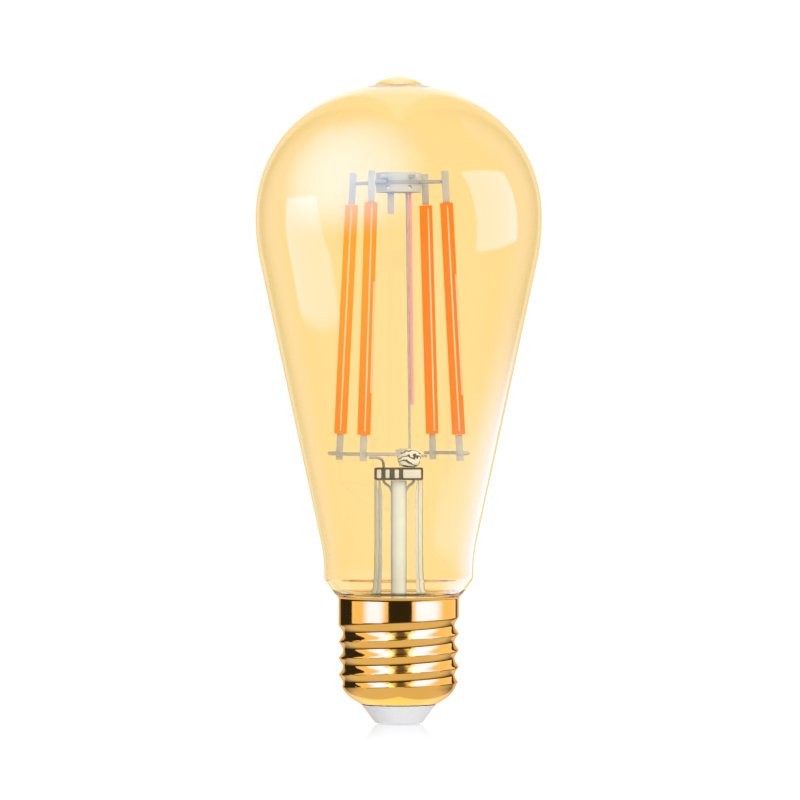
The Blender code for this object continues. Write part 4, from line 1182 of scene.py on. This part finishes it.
ahead = mathNode(tree, "POWER", mathNode(tree, "ABSOLUTE", parts.outputs[1]), studio["frontPower"])
softLevel = mathNode(tree, "ADD", mathNode(tree, "MULTIPLY", ahead, studio["fromFront"]), studio["bounce"])
fromRight = mathNode(tree, "MULTIPLY", parts.outputs[0], studio["fromRight"])
softLevel = mathNode(tree, "ADD", softLevel, fromRight)
plain = addNode(
    tree, "ShaderNodeMix", [(0, soft), (3, softLevel)], data_type="FLOAT", in_2=studio["backdrop"]
)
mix = addNode(
    tree, "ShaderNodeMix", [(0, mirrored), (6, plain.outputs[0]), (7, reflected.outputs[0])],
    data_type="RGBA"
)
tree.links.new(mix.outputs[2], back.inputs[0])
back.inputs[1].default_value = 1.0


def shapedLamp(name, azimuth, elevation, distance, size, receivers, aim):
    # area lamp that only the given piece mirrors; returns its node tree and the place across it
    data = bpy.data.lights.new(name, "AREA")
    data.shape, data.size, data.size_y = "RECTANGLE", *size
    data.energy = math.pi * size[0] * size[1]
    lamp = link(bpy.data.objects.new(name, data))
    a, e = math.radians(azimuth), math.radians(elevation)
    out = Vector((math.sin(a) * math.cos(e), -math.cos(a) * math.cos(e), math.sin(e)))
    lamp.location = Vector(aim) + out * distance
    lamp.rotation_mode = "QUATERNION"
    lamp.rotation_quaternion = out.to_track_quat("Z", "Y")
    lamp.visible_camera = lamp.visible_diffuse = lamp.visible_transmission = False
    lamp.light_linking.receiver_collection = receivers
    data.use_nodes = True
    tree = data.node_tree
    geometry = addNode(tree, "ShaderNodeNewGeometry")
    spread = addNode(tree, "ShaderNodeSeparateXYZ", [(0, geometry.outputs["Parametric"])])
    return tree, spread


def only(name, piece):
    receivers = bpy.data.collections.new(name)
    receivers.objects.link(bpy.data.objects[piece])
    return receivers


def lampOutput(tree, strength, colour):
    glow = tree.nodes["Emission"]
    glow.inputs["Color"].default_value = (*colour, 1)
    if isinstance(strength, (int, float)):
        glow.inputs["Strength"].default_value = strength
    else:
        tree.links.new(strength, glow.inputs["Strength"])


def bell(tree, value, low, top, high):
    # rises from low to top and falls again to high
    return mathNode(tree, "MULTIPLY", eased(tree, value, low, top[0]), eased(tree, value, high, top[1]))


glassAim = (0, 0, 0.1)
capOnly, glassOnly = only("capOnly", "screwShell"), only("glassOnly", "glassEnvelope")


def capLamp(name, azimuths, distance, colour, level, peaks=None):
    # tall lamp for the cap; peaks are the azimuths where it starts, holds and ends, in degrees
    start, end = azimuths
    centre, half = (start + end) / 2, math.radians((end - start) / 2)
    width = 2 * distance * math.tan(half)
    tree, spread = shapedLamp(name, centre, 0.0, distance, (width, 1.0), capOnly, (0, 0, 0.5))
    if peaks:
        shares = [0.5 + math.tan(math.radians(p - centre)) / (2 * math.tan(half)) for p in peaks]
        low, top, high = shares[0], shares[1:3], shares[3]
        level = mathNode(tree, "MULTIPLY", bell(tree, spread.outputs[0], low, top, high), level)
    lampOutput(tree, level, colour)


broad = {"colour": (1.0, 0.92, 0.80), "level": 1.15}
core = {"colour": (0.12, 0.57, 4.6), "level": 1.7, "distance": 0.27}
capLamps = {
    "capLampLeft": {**broad, "azimuths": (-100, -19.5), "distance": 0.28},
    "capLampLeftCore": {**core, "azimuths": (-96, -21), "peaks": (-76, -56, -38, -22)},
    "capLampRight": {**broad, "azimuths": (24.5, 138), "distance": 0.12},
    "capLampRightCore": {**core, "azimuths": (26, 100), "peaks": (26, 38, 68, 98)},
}
for name, given in capLamps.items():
    capLamp(name, **given)
tree, spread = shapedLamp("capLampTop", 2.5, 40.0, 0.3, (0.26, 0.3), capOnly, (0, 0, 0.024))
sides = mathNode(tree, "ABSOLUTE", mathNode(tree, "SUBTRACT", spread.outputs[0], 0.5))
lampOutput(tree, mathNode(tree, "ADD", eased(tree, sides, 0.08, 0.3), 0.12), (1.0, 0.9, 0.8))


def glassQuad(name, azimuth, distance, corners, colour, level, soft):
    # soft-edged flat lamp for the glass; corners are (across, up) from its middle, in mm
    span = 0.9
    tree, spread = shapedLamp(name, azimuth, 0.0, distance, (span, span), glassOnly, glassAim)
    places = [(0.5 + x * mm / span, 0.5 + y * mm / span) for x, y in corners]
    flat = addNode(tree, "ShaderNodeCombineXYZ", [(0, spread.outputs[0]), (1, spread.outputs[1])], in_2=1.0)
    area = sum(p[0] * q[1] - q[0] * p[1] for p, q in zip(places, places[1:] + places[:1]))
    mask = screen(tree, flat.outputs[0], places if area > 0 else places[::-1], soft)
    lampOutput(tree, mathNode(tree, "MULTIPLY", mask, level), colour)


cool = (0.35, 0.47, 1.0)
glassLamps = {
    "glassLampLeft": {
        "azimuth": -80.0, "distance": 0.15, "level": 5.0, "soft": 0.004,
        "corners": [(-35.1, 37.1), (44.0, 45.2), (76.9, -66.6), (-38.8, -45.7)],
    },
    "glassLampRight": {
        "azimuth": 85.0, "distance": 0.15, "level": 6.0, "soft": 0.004,
        "corners": [(-93.1, 114.3), (25.8, 79.6), (45.7, -9.8), (-64.2, -37.8)],
    },
    "glassLampLow": {  # a little further off, since lamps in one plane hide each other
        "azimuth": 85.0, "distance": 0.17, "level": 3.4, "soft": 0.03,
        "corners": [(70, -64), (-100, -122), (-160, -260), (420, -260), (420, -64)],
    },
}
for name, given in glassLamps.items():
    glassQuad(name, colour=cool, **given)
tree, spread = shapedLamp("glassLampGlow", -47.0, 28.0, 1.0, (4.8, 4.8), glassOnly, glassAim)
centred = addNode(
    tree, "ShaderNodeVectorMath", [(0, tree.nodes["Geometry"].outputs["Parametric"])], operation="DISTANCE",
    in_1=(0.5, 0.5, 0.0)
)
fade = eased(tree, centred.outputs["Value"], 0.49, 0.0)
upperPart = eased(tree, spread.outputs[1], 0.32, 0.44)
fade = mathNode(tree, "MULTIPLY", mathNode(tree, "POWER", fade, 1.8), upperPart)
lampOutput(tree, mathNode(tree, "MULTIPLY", fade, 12.0), (0.27, 0.50, 1.0))
for name, sign in (("Left", -1), ("Right", 1)):
    name = "glassLampSide" + name
    tree, spread = shapedLamp(name, sign * 118.0, 5.0, 1.0, (0.95, 2.4), glassOnly, glassAim)
    middleOut = bell(tree, spread.outputs[0], 0.0, (0.5, 0.5), 1.0)
    lampOutput(tree, mathNode(tree, "MULTIPLY", middleOut, 0.9), cool)

cameraData = bpy.data.cameras.new("camera")
camera = link(bpy.data.objects.new("camera", cameraData))
e = math.radians(studio["elevation"])
aim = (cadBounds[0] + cadBounds[1]) / 2
out = Vector((0.0, -math.cos(e), math.sin(e)))
camera.location = aim + out * studio["distance"]
camera.rotation_mode = "QUATERNION"
camera.rotation_quaternion = out.to_track_quat("Z", "Y")
cameraData.lens = cameraData.sensor_width * studio["distance"] / studio["view"]
cameraData.shift_x = studio["shiftX"]
cameraData.clip_start, cameraData.clip_end = 0.05, 50.0
scene.camera = camera

print("ready")
